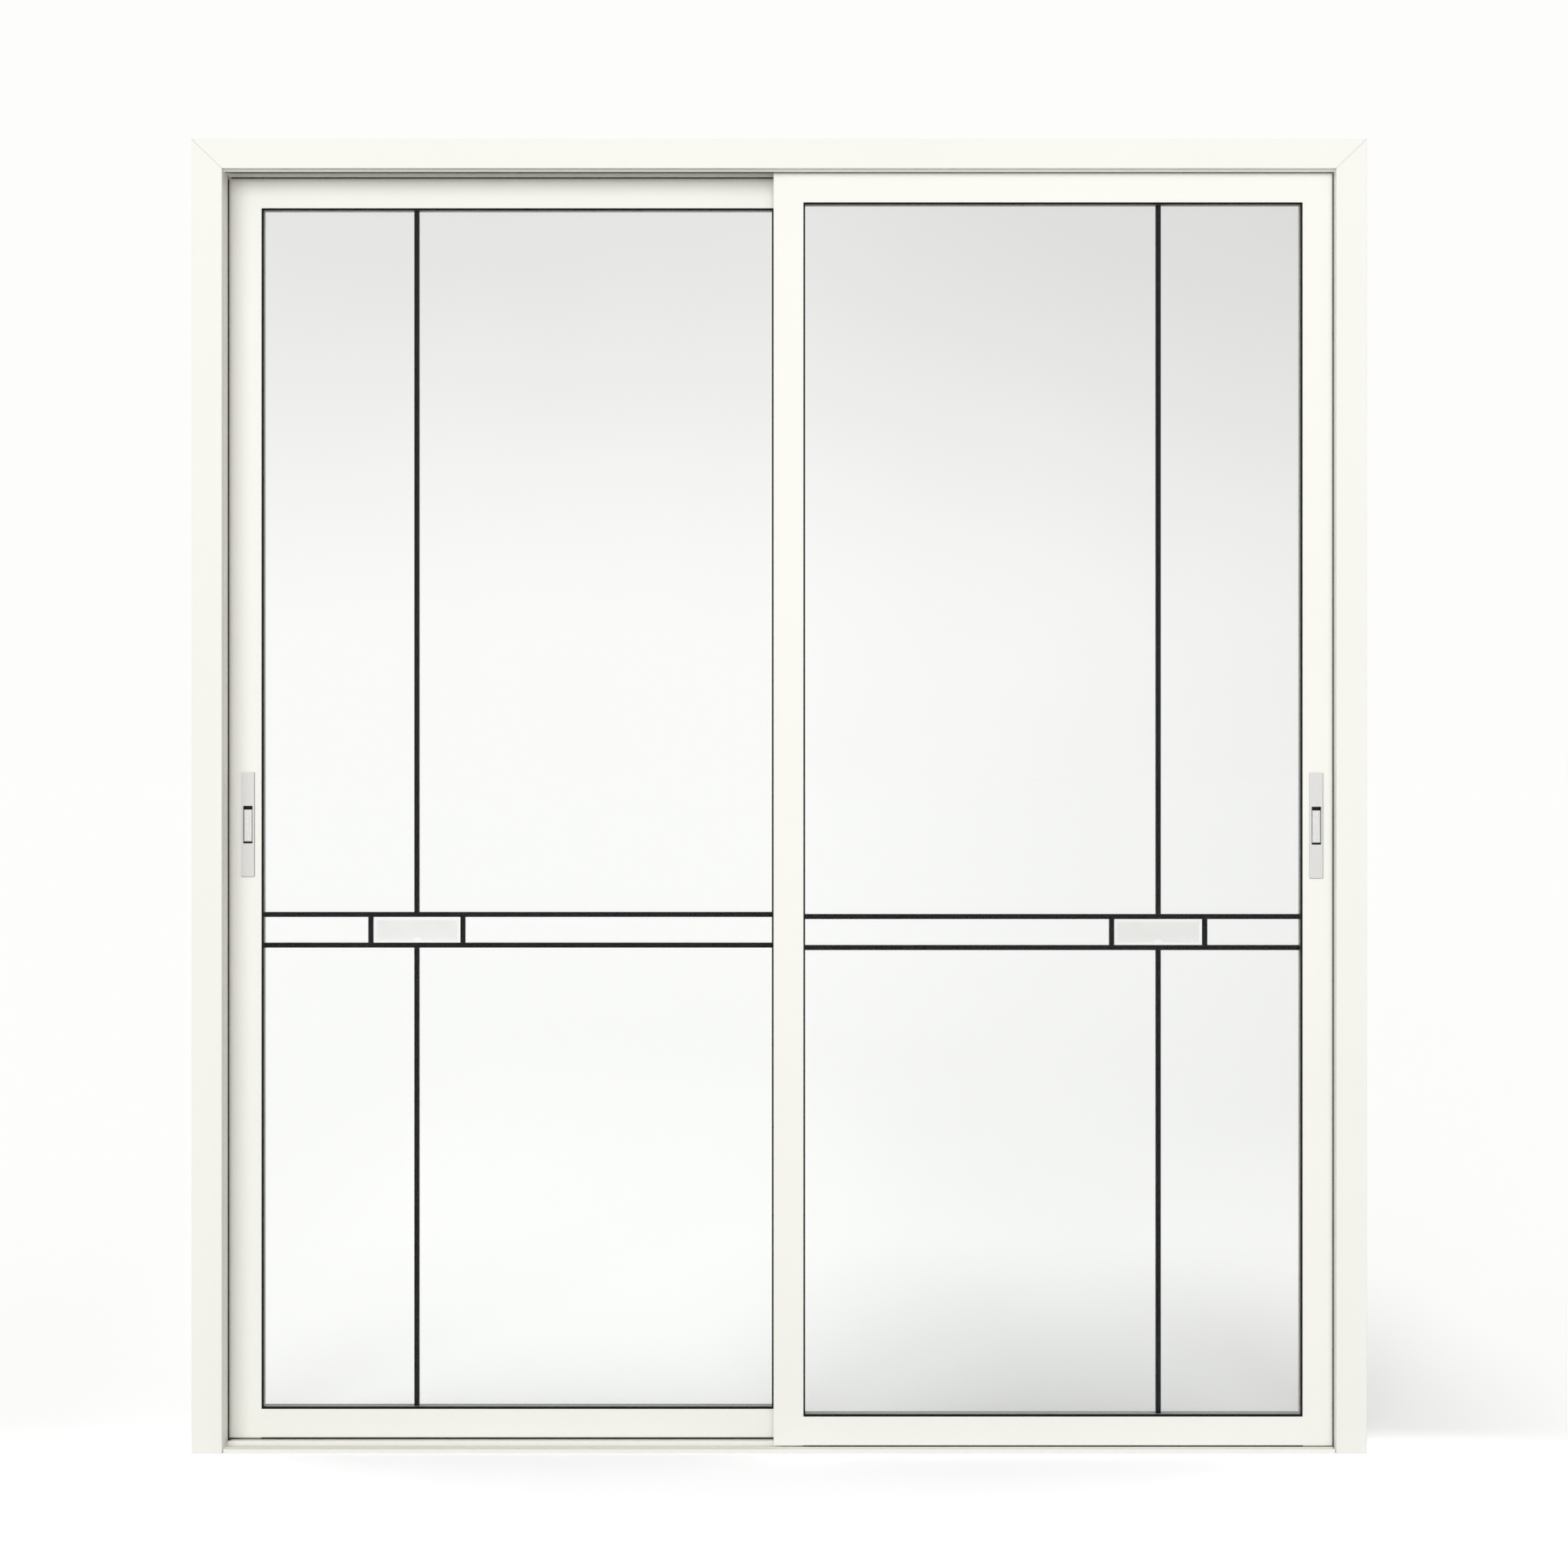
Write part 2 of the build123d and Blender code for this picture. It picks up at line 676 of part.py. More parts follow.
def make_roller_brackets(leaf):
    """Folded brackets under the rail's web, each with two cheeks and a riveted axle."""
    rail_web_face = leaf_bottom + bottom_rail_width - pocket_depth - frame_wall
    cheek_inner = wheel_width / 2 + bracket_sheet
    cheek_outer = cheek_inner + bracket_sheet
    pin_half = cheek_outer + axle_head_length
    top = rail_web_face - wheel_height
    with BuildPart() as brackets:
        for spot in roller_spots(leaf):
            for face in (-1, 1):
                cheek_plane = Plane(
                    origin=(spot, leaf.track + face * cheek_inner, wheel_height),
                    x_dir=(1, 0, 0), z_dir=(0, -1, 0),
                )
                with BuildSketch(cheek_plane):
                    with Locations((0, top - bracket_cheek_top / 2)):
                        Rectangle(bracket_length, bracket_cheek_top)
                    Circle(bracket_nose_radius)
                    make_hull()
                extrude(amount=-face * bracket_sheet)
            with BuildSketch(Plane(origin=(spot, leaf.track, rail_web_face))):
                Rectangle(bracket_length, pocket_width - 2 * bracket_fit)
            extrude(amount=-bracket_sheet)
            axle_plane = Plane(origin=(spot, leaf.track, wheel_height), z_dir=(0, 1, 0))
            with BuildSketch(axle_plane):
                Circle(axle_radius)
            extrude(amount=pin_half, both=True)
            for face in (-1, 1):
                with BuildSketch(axle_plane.offset(face * cheek_outer)):
                    Circle(axle_head_radius)
                extrude(amount=face * axle_head_length)
    save(brackets, f"{leaf.name}_roller_brackets")


def make_wheels(leaf):
    """Grooved wheels that run on the beaded rail."""
    bore = axle_radius + axle_clearance
    groove = rail_bead_radius + groove_clearance
    hub_width = wheel_width + 2 * (bracket_sheet - hub_clearance)
    with BuildPart() as wheels:
        for spot in roller_spots(leaf):
            hub = (spot, leaf.track, wheel_height)
            with BuildSketch(Plane(origin=hub, x_dir=(0, 1, 0), z_dir=(1, 0, 0))):
                with Locations((0, (bore + wheel_radius) / 2)):
                    Rectangle(wheel_width, wheel_radius - bore)
                with Locations((0, (bore + wheel_hub_radius) / 2)):
                    Rectangle(hub_width, wheel_hub_radius - bore)
                with Locations((0, wheel_radius)):
                    Circle(groove, mode=Mode.SUBTRACT)
            revolve(axis=Axis(hub, (0, 1, 0)))
    save(wheels, f"{leaf.name}_wheels")


def make_end_caps(leaf):
    """Nylon caps in the stile ends: guides at the top, notched plugs at the foot."""
    block_width = channel_width - 2 * guide_clearance
    cap_thickness = leaf_thickness - 2 * frame_wall - 2 * cap_fit
    with BuildPart() as caps:
        stiles = (
            (leaf.lock_edge, -leaf.side, lock_stile_width),
            (leaf.meeting_edge, leaf.side, meeting_stile_width),
        )
        for edge_x, inward, width in stiles:
            chamber = width - pocket_depth - 2 * frame_wall
            plug_x = edge_x + inward * (frame_wall + chamber / 2)
            stile_x = edge_x + inward * width / 2
            plug_width = chamber - 2 * cap_fit
            with BuildSketch(Plane(origin=(plug_x, leaf.track, leaf_top))):
                Rectangle(plug_width, cap_thickness)
            extrude(amount=-top_cap_depth)
            with BuildSketch(Plane(origin=(stile_x, leaf.track, leaf_top))):
                Rectangle(width - 2 * leaf_edge_radius, leaf_thickness - 2 * leaf_edge_radius)
            extrude(amount=guide_flange)
            with BuildSketch(Plane(origin=(stile_x, leaf.track, leaf_top + guide_flange))):
                RectangleRounded(width - 2 * guide_length_inset, block_width, leaf_edge_radius)
            extrude(amount=guide_block)
            with BuildSketch(Plane(origin=(plug_x, leaf.track, leaf_bottom))):
                Rectangle(plug_width, cap_thickness)
            extrude(amount=bottom_cap_depth)
        with Locations((leaf.middle, leaf.track, leaf_bottom)):
            Box(4 * half_opening, 2 * notch_half_width, 2 * (notch_top - leaf_bottom),
                mode=Mode.SUBTRACT)
    save(caps, f"{leaf.name}_end_caps")


def make_interlock(leaf):
    """Fin on the inner face of the meeting stile that hooks behind the other leaf's fin."""
    toward = 1 if leaf.track < 0 else -1
    stile_face = leaf.track + toward * leaf_thickness / 2
    fin_x = meeting_line - leaf.side * (interlock_gap + interlock_thickness) / 2
    low = sill_middle_height + running_clearance
    high = head_fin_tip - fin_pile_show - running_clearance
    with BuildPart() as interlock:
        with BuildSketch(Plane(origin=(fin_x, stile_face, low))):
            with Locations((0, toward * interlock_base_thickness / 2)):
                Rectangle(interlock_base_width, interlock_base_thickness)
            with Locations((0, toward * interlock_reach / 2)):
                Rectangle(interlock_thickness, interlock_reach)
        extrude(amount=high - low)
    save(interlock, f"{leaf.name}_interlock")


def make_leaf(leaf):
    """Every piece of one sliding leaf."""
    make_lock_stile(leaf)
    make_meeting_stile(leaf)
    make_top_rail(leaf)
    make_bottom_rail(leaf)
    make_panes(leaf)
    make_spacer(leaf)
    make_gaskets(leaf)
    make_bars(leaf)
    make_box_tile(leaf)
    make_handle_plate(leaf, -1, f"{leaf.name}_handle_plate_front")
    make_handle_plate(leaf, 1, f"{leaf.name}_handle_plate_back")
    make_latch(leaf)
    make_roller_brackets(leaf)
    make_wheels(leaf)
    make_end_caps(leaf)
    make_interlock(leaf)


os.makedirs("parts", exist_ok=True)
make_jamb(-1, "jamb_left")
make_jamb(1, "jamb_right")
make_head()
make_jamb_covers()
make_sill()
make_casings(-1, "front")
make_casings(1, "rear")
make_pile_seals()
make_stop_buffers()
make_leaf(rear)
make_leaf(front)
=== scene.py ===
"""Finishes, brush seals, fixing screws, light and camera for a two-leaf glass sliding door."""

import json
import math

import bmesh
import bpy
from bpy.props import FloatProperty, FloatVectorProperty, IntProperty, PointerProperty
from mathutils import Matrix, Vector


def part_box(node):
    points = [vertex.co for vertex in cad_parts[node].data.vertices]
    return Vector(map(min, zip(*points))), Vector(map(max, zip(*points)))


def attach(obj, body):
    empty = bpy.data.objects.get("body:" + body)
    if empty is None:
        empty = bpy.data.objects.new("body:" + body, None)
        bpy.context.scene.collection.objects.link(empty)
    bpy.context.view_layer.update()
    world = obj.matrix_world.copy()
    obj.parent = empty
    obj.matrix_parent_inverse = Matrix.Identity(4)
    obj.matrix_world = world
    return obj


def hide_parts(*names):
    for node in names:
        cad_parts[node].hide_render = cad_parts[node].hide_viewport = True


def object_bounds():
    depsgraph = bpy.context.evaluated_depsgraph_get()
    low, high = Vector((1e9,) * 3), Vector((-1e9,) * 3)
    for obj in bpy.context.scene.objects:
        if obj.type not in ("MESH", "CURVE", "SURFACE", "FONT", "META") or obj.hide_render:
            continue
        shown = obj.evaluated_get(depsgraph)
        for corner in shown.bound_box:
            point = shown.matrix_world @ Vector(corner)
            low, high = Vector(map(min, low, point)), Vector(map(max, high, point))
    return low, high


bl_info = {
    "name": "Glass sliding door finishes",
    "version": (1, 0, 0),
    "blender": (4, 5, 0),
    "location": "View3D > Sidebar > Door",
    "description": "Lacquer, glass, seals, screws and a plain studio for a two-leaf sliding door",
    "category": "Object",
}

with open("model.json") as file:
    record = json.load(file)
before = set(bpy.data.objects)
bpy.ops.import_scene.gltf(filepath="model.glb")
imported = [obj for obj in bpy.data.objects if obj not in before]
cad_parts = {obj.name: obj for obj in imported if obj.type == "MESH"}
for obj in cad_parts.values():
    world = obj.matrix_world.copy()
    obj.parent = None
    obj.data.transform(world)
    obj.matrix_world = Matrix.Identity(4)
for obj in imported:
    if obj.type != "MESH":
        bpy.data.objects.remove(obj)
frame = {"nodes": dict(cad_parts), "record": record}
CAD_LOW, CAD_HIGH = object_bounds()
NODES = frame["nodes"]
RECORD = frame["record"]
LEAVES = ("rear", "front")
WELD = 1e-5

# Camera: widths in metres, places in pixels of the picture
SENSOR = 0.036
IMAGE_SIDE = 1932
VIEW_WIDTH = 2.5045
DOOR_MIDDLE_PIXEL = 960
HORIZON_PIXEL = 900

# Walls that the fixing screws go through, and the sides of a screw's head
SILL_PLATE = 0.0012
LINING_WEB = 0.003
SCREW_SEGMENTS = 24

# Noise lies mostly between these
NOISE_SPAN = (0.3, 0.7)

# Glass, the nearly unbending glass of the painted highlights on a tile, and the painted glint low in
# the middle of a tile
GLASS_IOR = 1.5
HIGHLIGHT_IOR = 1.02
TILE_BLUR = 0.22
GLINT_REACH = 0.009
GLINT_RISE = 0.006
GLINT_UP = 0.004

# Handle plates: painted shade along their edges and in their cups
EDGE_SHADE_GREY = (0.34, 0.34, 0.34)
CUP_SHADE_BLACK = (0.02, 0.02, 0.02)

# The floor, and where the painted light and shade on it start and stop, in metres
FLOOR_REACH = 60.0
FLOOR_DROP = 0.0003
FLOOR_BOUNCE = (0.72, 0.72, 0.71)
UNDER_DOOR = (-0.06, 0.1)
FRONT_FADE = (-1.6, -0.1)
BACK_FADE = (1.5, 6.0)
SHADE_BACK = (0.2, 1.9)
SHADE_RIGHT = (-0.2, 0.5)
SHADE_REST = 0.25
SIDE_FADE = (-0.1, 0.5)
FAR_FLOOR = (0.8, 4.0)

# The sky: where its light, and the painted shade seen through glass, start and stop to change, as parts
# of a direction
DUSK_RISE = (0.02, 0.21)
DUSK_DRIFT = 0.06
CLOUD_SCALE = 9.0
DUSK_RIGHT = (0.0, 0.2)
FRONT_TO_BACK = (-0.7, 0.2)
TO_THE_SIDES = (0.5, 0.95)
MIRROR_RISE = (-0.4, 0.8)
MIRROR_LOW = -0.06
MIRROR_HIGH = 0.08

# What the sky in front, the sky behind and the side sky add to the light on the floor
SKY_WEIGHTS = (0.35, 0.65, 0.2)
SUN_AWAY = 5.0


# Nodes and sockets

def new_material(name):
    """A material with its node tree and its surface shader."""
    material = bpy.data.materials.new(name)
    material.use_nodes = True
    tree = material.node_tree
    return material, tree, tree.nodes["Principled BSDF"]


def set_socket(tree, socket, value):
    """Link a socket to another one, or give it a value."""
    if isinstance(value, bpy.types.NodeSocket):
        tree.links.new(value, socket)
    else:
        socket.default_value = value


def fill_inputs(tree, node, inputs):
    """Fill a node's inputs with values or links."""
    for key, value in inputs.items():
        set_socket(tree, node.inputs[key], value)


def add_node(tree, kind, inputs=None, **settings):
    """A node with its settings, its inputs filled with values or links."""
    node = tree.nodes.new(kind)
    for key, value in settings.items():
        setattr(node, key, value)
    fill_inputs(tree, node, inputs or {})
    return node


def math_node(tree, operation, *values):
    """One step of arithmetic on numbers or sockets."""
    node = add_node(tree, "ShaderNodeMath", dict(enumerate(values)), operation=operation)
    return node.outputs[0]


def ramp(tree, source, start, end, low=0.0, high=1.0, smooth=True):
    """Map a number between start and end onto low to high, held at both ends."""
    return add_node(
        tree, "ShaderNodeMapRange",
        {"Value": source, "From Min": start, "From Max": end, "To Min": low, "To Max": high},
        interpolation_type="SMOOTHSTEP" if smooth else "LINEAR",
    ).outputs["Result"]


def object_axes(tree):
    """The three object coordinates as numbers."""
    place = add_node(tree, "ShaderNodeTexCoord").outputs["Object"]
    return add_node(tree, "ShaderNodeSeparateXYZ", {"Vector": place}).outputs


def object_noise(tree, scale, stretch=(1, 1, 1), detail=2.0):
    """Noise on the object's own coordinates, drawn out along an axis whose stretch is below 1."""
    place = add_node(tree, "ShaderNodeTexCoord").outputs["Object"]
    mapping = add_node(tree, "ShaderNodeMapping", {"Vector": place, "Scale": stretch})
    texture = add_node(
        tree, "ShaderNodeTexNoise",
        {"Vector": mapping.outputs["Vector"], "Scale": scale, "Detail": detail},
    )
    return texture.outputs["Fac"]


def spread(tree, source, low=0.0, high=1.0):
    """Map the span in which noise mostly lies onto a range of numbers."""
    return ramp(tree, source, *NOISE_SPAN, low, high, smooth=False)


def scaled(tree, color, gain):
    """A colour times a number."""
    node = add_node(tree, "ShaderNodeVectorMath", {0: color, "Scale": gain}, operation="SCALE")
    return node.outputs[0]


def blend_colors(tree, factor, first, second):
    """Mix two colours by the number that a socket gives, from 0 to 1."""
    mix = add_node(tree, "ShaderNodeMix", data_type="RGBA")
    named = {socket.identifier: socket for socket in mix.inputs}
    tree.links.new(factor, named["Factor_Float"])
    for identifier, color in (("A_Color", first), ("B_Color", second)):
        linked = isinstance(color, bpy.types.NodeSocket)
        set_socket(tree, named[identifier], color if linked else (*color[:3], 1))
    return next(socket for socket in mix.outputs if socket.identifier == "Result_Color")


def shaded(color, share):
    """A colour made darker or lighter by a share."""
    return tuple(min(1.0, channel * share) for channel in color)


def roughen(tree, shader, height, strength, depth, earlier=None):
    """Give the shader a bump from a height, on top of an earlier one."""
    inputs = {"Height": height, "Strength": strength, "Distance": depth}
    if earlier is not None:
        inputs["Normal"] = earlier
    normal = add_node(tree, "ShaderNodeBump", inputs).outputs["Normal"]
    fill_inputs(tree, shader, {"Normal": normal})
    return normal


def vary(tree, shader, colors, tone_scale, roughness, gloss_scale, detail=2.0):
    """Let noise carry the colour and the roughness between two values each."""
    tone = spread(tree, object_noise(tree, tone_scale, detail=detail))
    gloss = spread(tree, object_noise(tree, gloss_scale), *roughness)
    color = blend_colors(tree, tone, *colors)
    fill_inputs(tree, shader, {"Base Color": color, "Roughness": gloss})


# Finishes

def powder_coat(name, finish, seam_or_shade_line=None, share=1.0):
    """Satin powder coat: a faint tone drift, orange peel, and a dark hairline along a given line: mitre
    seams on the casings, painted shade under the head casing on the lining.
    """
    material, tree, shader = new_material(name)
    coat = shaded(finish.lacquer, share)
    drift = spread(tree, object_noise(tree, 2.5))
    color = blend_colors(tree, drift, shaded(coat, 0.985), coat)
    height = object_noise(tree, 620.0, detail=3.0)
    normal = roughen(tree, shader, height, 0.10, finish.orange_peel)
    if seam_or_shade_line is not None:
        line = seam_or_shade_line(tree)
        # Darken along the given line: mitre seams on the casings, painted shade under the head casing
        # on the lining
        color = blend_colors(tree, line, color, shaded(finish.lacquer, 0.55))
        gap = math_node(tree, "SUBTRACT", 1.0, line)
        roughen(tree, shader, gap, 0.5, 0.0004, normal)
    rough = finish.lacquer_roughness
    gloss = spread(tree, object_noise(tree, 45.0), rough, rough + 0.07)
    fill_inputs(tree, shader, {"Base Color": color, "Roughness": gloss})
    return material


def mitre_line(tree, width=0.0004):
    """1 along the mitres of the casings and 0 elsewhere, from the corners that they run between."""
    leg_low, leg_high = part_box("casing_front_right")
    head_low, head_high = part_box("casing_front_head")
    run = leg_high.x - leg_low.x
    rise = head_high.z - head_low.z
    axes = object_axes(tree)
    across = math_node(tree, "SUBTRACT", math_node(tree, "ABSOLUTE", axes["X"]), leg_low.x)
    up = math_node(tree, "SUBTRACT", axes["Z"], head_low.z)
    across_rise = math_node(tree, "MULTIPLY", across, rise)
    up_run = math_node(tree, "MULTIPLY", up, run)
    slope = math_node(tree, "SUBTRACT", across_rise, up_run)
    distance = math_node(tree, "ABSOLUTE", math_node(tree, "DIVIDE", slope, math.hypot(run, rise)))
    return ramp(tree, distance, width / 2, width, 1.0, 0.0, smooth=False)


def casing_gap_shade(tree, width=0.0006):
    """1 along a painted shade line under the front head casing, in the gap where it lies against the
    lining.
    """
    low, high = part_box("casing_front_head")
    axes = object_axes(tree)
    in_front = ramp(tree, axes["Y"], high.y, high.y + 0.0002, 1.0, 0.0)
    below = math_node(tree, "ABSOLUTE", math_node(tree, "SUBTRACT", axes["Z"], low.z - width / 2))
    line = ramp(tree, below, width / 2, 1.3 * width / 2, 1.0, 0.0)
    return math_node(tree, "MULTIPLY", line, in_front)


def extruded_rubber(name, color, roughness, shine=0.3):
    """Matt rubber with a fine grain."""
    material, tree, shader = new_material(name)
    shader.inputs["Specular IOR Level"].default_value = shine
    vary(tree, shader, (shaded(color, 0.8), color), 30.0, (roughness - 0.05, roughness + 0.08), 180.0)
    roughen(tree, shader, object_noise(tree, 900.0), 0.12, 0.0002)
    return material


def bar_lacquer(name, color, roughness):
    """Satin black lacquer of the glazing bars."""
    material, tree, shader = new_material(name)
    shader.inputs["Specular IOR Level"].default_value = 0.08
    vary(tree, shader, (color, shaded(color, 1.35)), 14.0, (roughness, roughness + 0.08), 70.0)
    roughen(tree, shader, object_noise(tree, 700.0), 0.08, 0.0002)
    return material


def let_lamps_through(tree, shader, tint):
    """Rays from lamps pass the pane with a tint, so what stands behind it is lit."""
    path = add_node(tree, "ShaderNodeLightPath")
    clear = add_node(tree, "ShaderNodeBsdfTransparent", {"Color": (*tint, 1)})
    mix = add_node(
        tree, "ShaderNodeMixShader",
        {0: path.outputs["Is Shadow Ray"], 1: shader.outputs["BSDF"], 2: clear.outputs["BSDF"]},
    )
    fill_inputs(tree, tree.nodes["Material Output"], {"Surface": mix.outputs["Shader"]})


def float_glass(name, finish):
    """Clear float glass with the faint roller waves that bend its reflections."""
    material, tree, shader = new_material(name)
    fill_inputs(tree, shader, {
        "Base Color": (*finish.glass, 1), "Roughness": 0.0, "IOR": GLASS_IOR,
        "Specular IOR Level": finish.glass_shine,
        "Specular Tint": (finish.glass_shine * 2,) * 3 + (1,), "Transmission Weight": 1.0,
    })
    roughen(tree, shader, object_noise(tree, 2.2, (1.0, 1.0, 0.35), 1.0), 0.02, 0.001)
    let_lamps_through(tree, shader, finish.glass)
    return material


def bevelled_glass(name, finish, low, high, bevel=0.004):
    """Cast glass of a small tile with a softly clouded middle, and painted highlights: clear, white,
    nearly unbending glass on the bevels and in a low glint.
    """
    material, tree, shader = new_material(name)
    axes = object_axes(tree)
    middle = (low + high) / 2
    across = math_node(tree, "SUBTRACT", axes["X"], middle.x)
    up = math_node(tree, "SUBTRACT", axes["Z"], middle.z)
    from_side = math_node(tree, "SUBTRACT", (high.x - low.x) / 2, math_node(tree, "ABSOLUTE", across))
    from_end = math_node(tree, "SUBTRACT", (high.z - low.z) / 2, math_node(tree, "ABSOLUTE", up))
    edge = math_node(tree, "MINIMUM", from_side, from_end)
    bevel_highlight = ramp(tree, edge, 0.7 * bevel, 1.6 * bevel, 1.0, 0.0)
    from_glint = math_node(tree, "SUBTRACT", axes["Z"], low.z + GLINT_UP)
    parts = ((across, GLINT_REACH), (from_glint, GLINT_RISE))
    parts = [math_node(tree, "DIVIDE", away, reach) for away, reach in parts]
    squares = [math_node(tree, "MULTIPLY", part, part) for part in parts]
    glint = ramp(tree, math_node(tree, "ADD", *squares), 0.2, 1.0, 1.0, 0.0)
    # Painted highlight: the bevels and the glint turn clear, white and nearly unbending
    clear = math_node(tree, "MAXIMUM", bevel_highlight, glint)
    cloud = spread(tree, object_noise(tree, 16.0, (1.0, 1.0, 1.6)))
    color = blend_colors(tree, cloud, shaded(finish.tile, 0.95), finish.tile)
    cast = math_node(tree, "SUBTRACT", 1.0, clear)
    fill_inputs(tree, shader, {
        "Base Color": blend_colors(tree, clear, color, (1.0, 1.0, 1.0)),
        "Roughness": math_node(tree, "MULTIPLY", cast, TILE_BLUR),
        "IOR": math_node(tree, "MULTIPLY_ADD", clear, HIGHLIGHT_IOR - GLASS_IOR, GLASS_IOR),
        "Transmission Weight": 1.0,
    })
    roughen(tree, shader, object_noise(tree, 240.0), 0.08, 0.0004)
    let_lamps_through(tree, shader, finish.tile)
    return material


def anodised(name, color, roughness, inside=None, edge_shade=None):
    """Anodised aluminium, brushed along its height, with painted shade in the cups and along the right
    and lower edges.
    """
    material, tree, shader = new_material(name)
    grain = object_noise(tree, 1500.0, (1.0, 1.0, 0.02), 3.0)
    color = blend_colors(tree, spread(tree, grain), shaded(color, 0.95), color)
    # Painted shade along the plate's right and lower edges
    if edge_shade is not None:
        color = blend_colors(tree, edge_shade(tree), color, EDGE_SHADE_GREY)
    # Painted shade: the cup's recess is made near black
    if inside is not None:
        color = blend_colors(tree, inside(tree), color, CUP_SHADE_BLACK)
    gloss = spread(tree, grain, roughness - 0.04, roughness + 0.06)
    fill_inputs(tree, shader, {"Base Color": color, "Roughness": gloss, "Metallic": 0.5})
    roughen(tree, shader, grain, 0.10, 0.0001)
    return material


def cup_recess_shade(tree):
    """1 inside the cups of the handle plates, behind the faces of the leaves, where the recess is
    painted dark as shade, and 0 on the plates.
    """
    low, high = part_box("front_lock_stile")
    middle = -(low.y + high.y) / 2
    reach = (high.y - low.y) / 2
    across = math_node(tree, "ABSOLUTE", object_axes(tree)["Y"])
    away = math_node(tree, "ABSOLUTE", math_node(tree, "SUBTRACT", across, middle))
    return ramp(tree, away, reach + 0.0007, reach + 0.0009, 1.0, 0.0)


def plate_edge_shade(name, width=0.0007):
    """A function that gives 1 along the right and the lower edge of a handle plate, where painted shade
    stands for its thin shadow.
    """
    low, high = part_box(name)

    def line(tree):
        axes = object_axes(tree)
        right = math_node(tree, "SUBTRACT", high.x, axes["X"])
        foot = math_node(tree, "SUBTRACT", axes["Z"], low.z)
        return ramp(tree, math_node(tree, "MINIMUM", right, foot), width, 1.4 * width, 1.0, 0.0)

    return line


def zinc_plate(name, color):
    """Zinc-plated steel with a mottled tone."""
    material, tree, shader = new_material(name)
    shader.inputs["Metallic"].default_value = 1.0
    vary(tree, shader, (shaded(color, 0.8), color), 160.0, (0.28, 0.45), 90.0, detail=4.0)
    roughen(tree, shader, object_noise(tree, 400.0), 0.06, 0.0002)
    return material


def moulded_nylon(name, color):
    """Moulded nylon, slightly waxy, with a fine texture."""
    material, tree, shader = new_material(name)
    vary(tree, shader, (shaded(color, 0.95), color), 60.0, (0.42, 0.55), 120.0)
    shader.inputs["Subsurface Weight"].default_value = 0.15
    shader.inputs["Subsurface Radius"].default_value = (0.002, 0.002, 0.002)
    roughen(tree, shader, object_noise(tree, 1100.0), 0.10, 0.0002)
    return material


def punched_spacer(name, color, pitch=0.006, hole=0.0008):
    """Bright spacer bar with the rows of pin holes that let its desiccant breathe."""
    material, tree, shader = new_material(name)
    place = add_node(tree, "ShaderNodeTexCoord").outputs["Object"]
    wrapped = add_node(
        tree, "ShaderNodeVectorMath", {0: place, 1: (pitch,) * 3, 2: (0, 0, 0)}, operation="WRAP"
    ).outputs[0]
    away = add_node(
        tree, "ShaderNodeVectorMath", {0: wrapped, 1: (pitch / 2,) * 3}, operation="DISTANCE"
    ).outputs["Value"]
    plain = ramp(tree, away, hole, 1.3 * hole, smooth=False)
    color = blend_colors(tree, plain, shaded(color, 0.3), color)
    gloss = spread(tree, object_noise(tree, 200.0), 0.5, 0.62)
    fill_inputs(tree, shader, {"Base Color": color, "Roughness": gloss})
    roughen(tree, shader, plain, 0.6, 0.0005)
    return material


def brush_pile(name, color):
    """Dense dark pile, a little lighter at some tips."""
    material, tree, shader = new_material(name)
    fleck = spread(tree, object_noise(tree, 1400.0, detail=4.0))
    color = blend_colors(tree, fleck, shaded(color, 0.6), shaded(color, 1.5))
    fill_inputs(tree, shader, {"Base Color": color, "Roughness": 0.85, "Sheen Weight": 0.3})
    roughen(tree, shader, fleck, 0.4, 0.0004)
    return material


def coat_node(name, material):
    """Lay a finish on one CAD node."""
    for place in NODES[name].material_slots:
        place.material = material


def dress(material, slot):
    """Lay a finish on every piece that takes this slot."""
    for piece in RECORD["subparts"]:
        if piece["material_slot"] == slot:
            coat_node(piece["node"], material)


# Meshes

def mesh_object(name, bm):
    """An object at the origin that holds a finished mesh."""
    mesh = bpy.data.meshes.new(name)
    bm.to_mesh(mesh)
    bm.free()
    obj = bpy.data.objects.new(name, mesh)
    bpy.context.scene.collection.objects.link(obj)
    return obj


def loose_boxes(name):
    """Lowest and highest corner of each separate solid in a CAD node."""
    bm = bmesh.new()
    bm.from_mesh(NODES[name].data)
    bmesh.ops.remove_doubles(bm, verts=bm.verts, dist=WELD)
    waiting = set(bm.verts)
    boxes = []
    while waiting:
        reached = [waiting.pop()]
        for vert in reached:
            near = {edge.other_vert(vert) for edge in vert.link_edges} & waiting
            waiting -= near
            reached.extend(near)
        low = Vector(min(vert.co[axis] for vert in reached) for axis in range(3))
        high = Vector(max(vert.co[axis] for vert in reached) for axis in range(3))
        boxes.append((low, high))
    bm.free()
    return sorted(boxes, key=lambda corners: tuple(corners[0]))


def add_block(bm, low, high):
    """Add a closed block between two corners."""
    sides = tuple(zip(low, high))
    corners = [bm.verts.new((x, y, z)) for x in sides[0] for y in sides[1] for z in sides[2]]
    for loop in ((0, 1, 3, 2), (4, 6, 7, 5), (0, 4, 5, 1), (2, 3, 7, 6), (0, 2, 6, 4), (1, 5, 7, 3)):
        bm.faces.new([corners[index] for index in loop])


def add_row(rows, grow, ends, way):
    """Add a row for tufts: an edge between two ends that keeps the way in which they grow."""
    verts = [rows.verts.new(end) for end in ends]
    for vert in verts:
        vert[grow] = way
    rows.edges.new(verts)


# Geometry Nodes

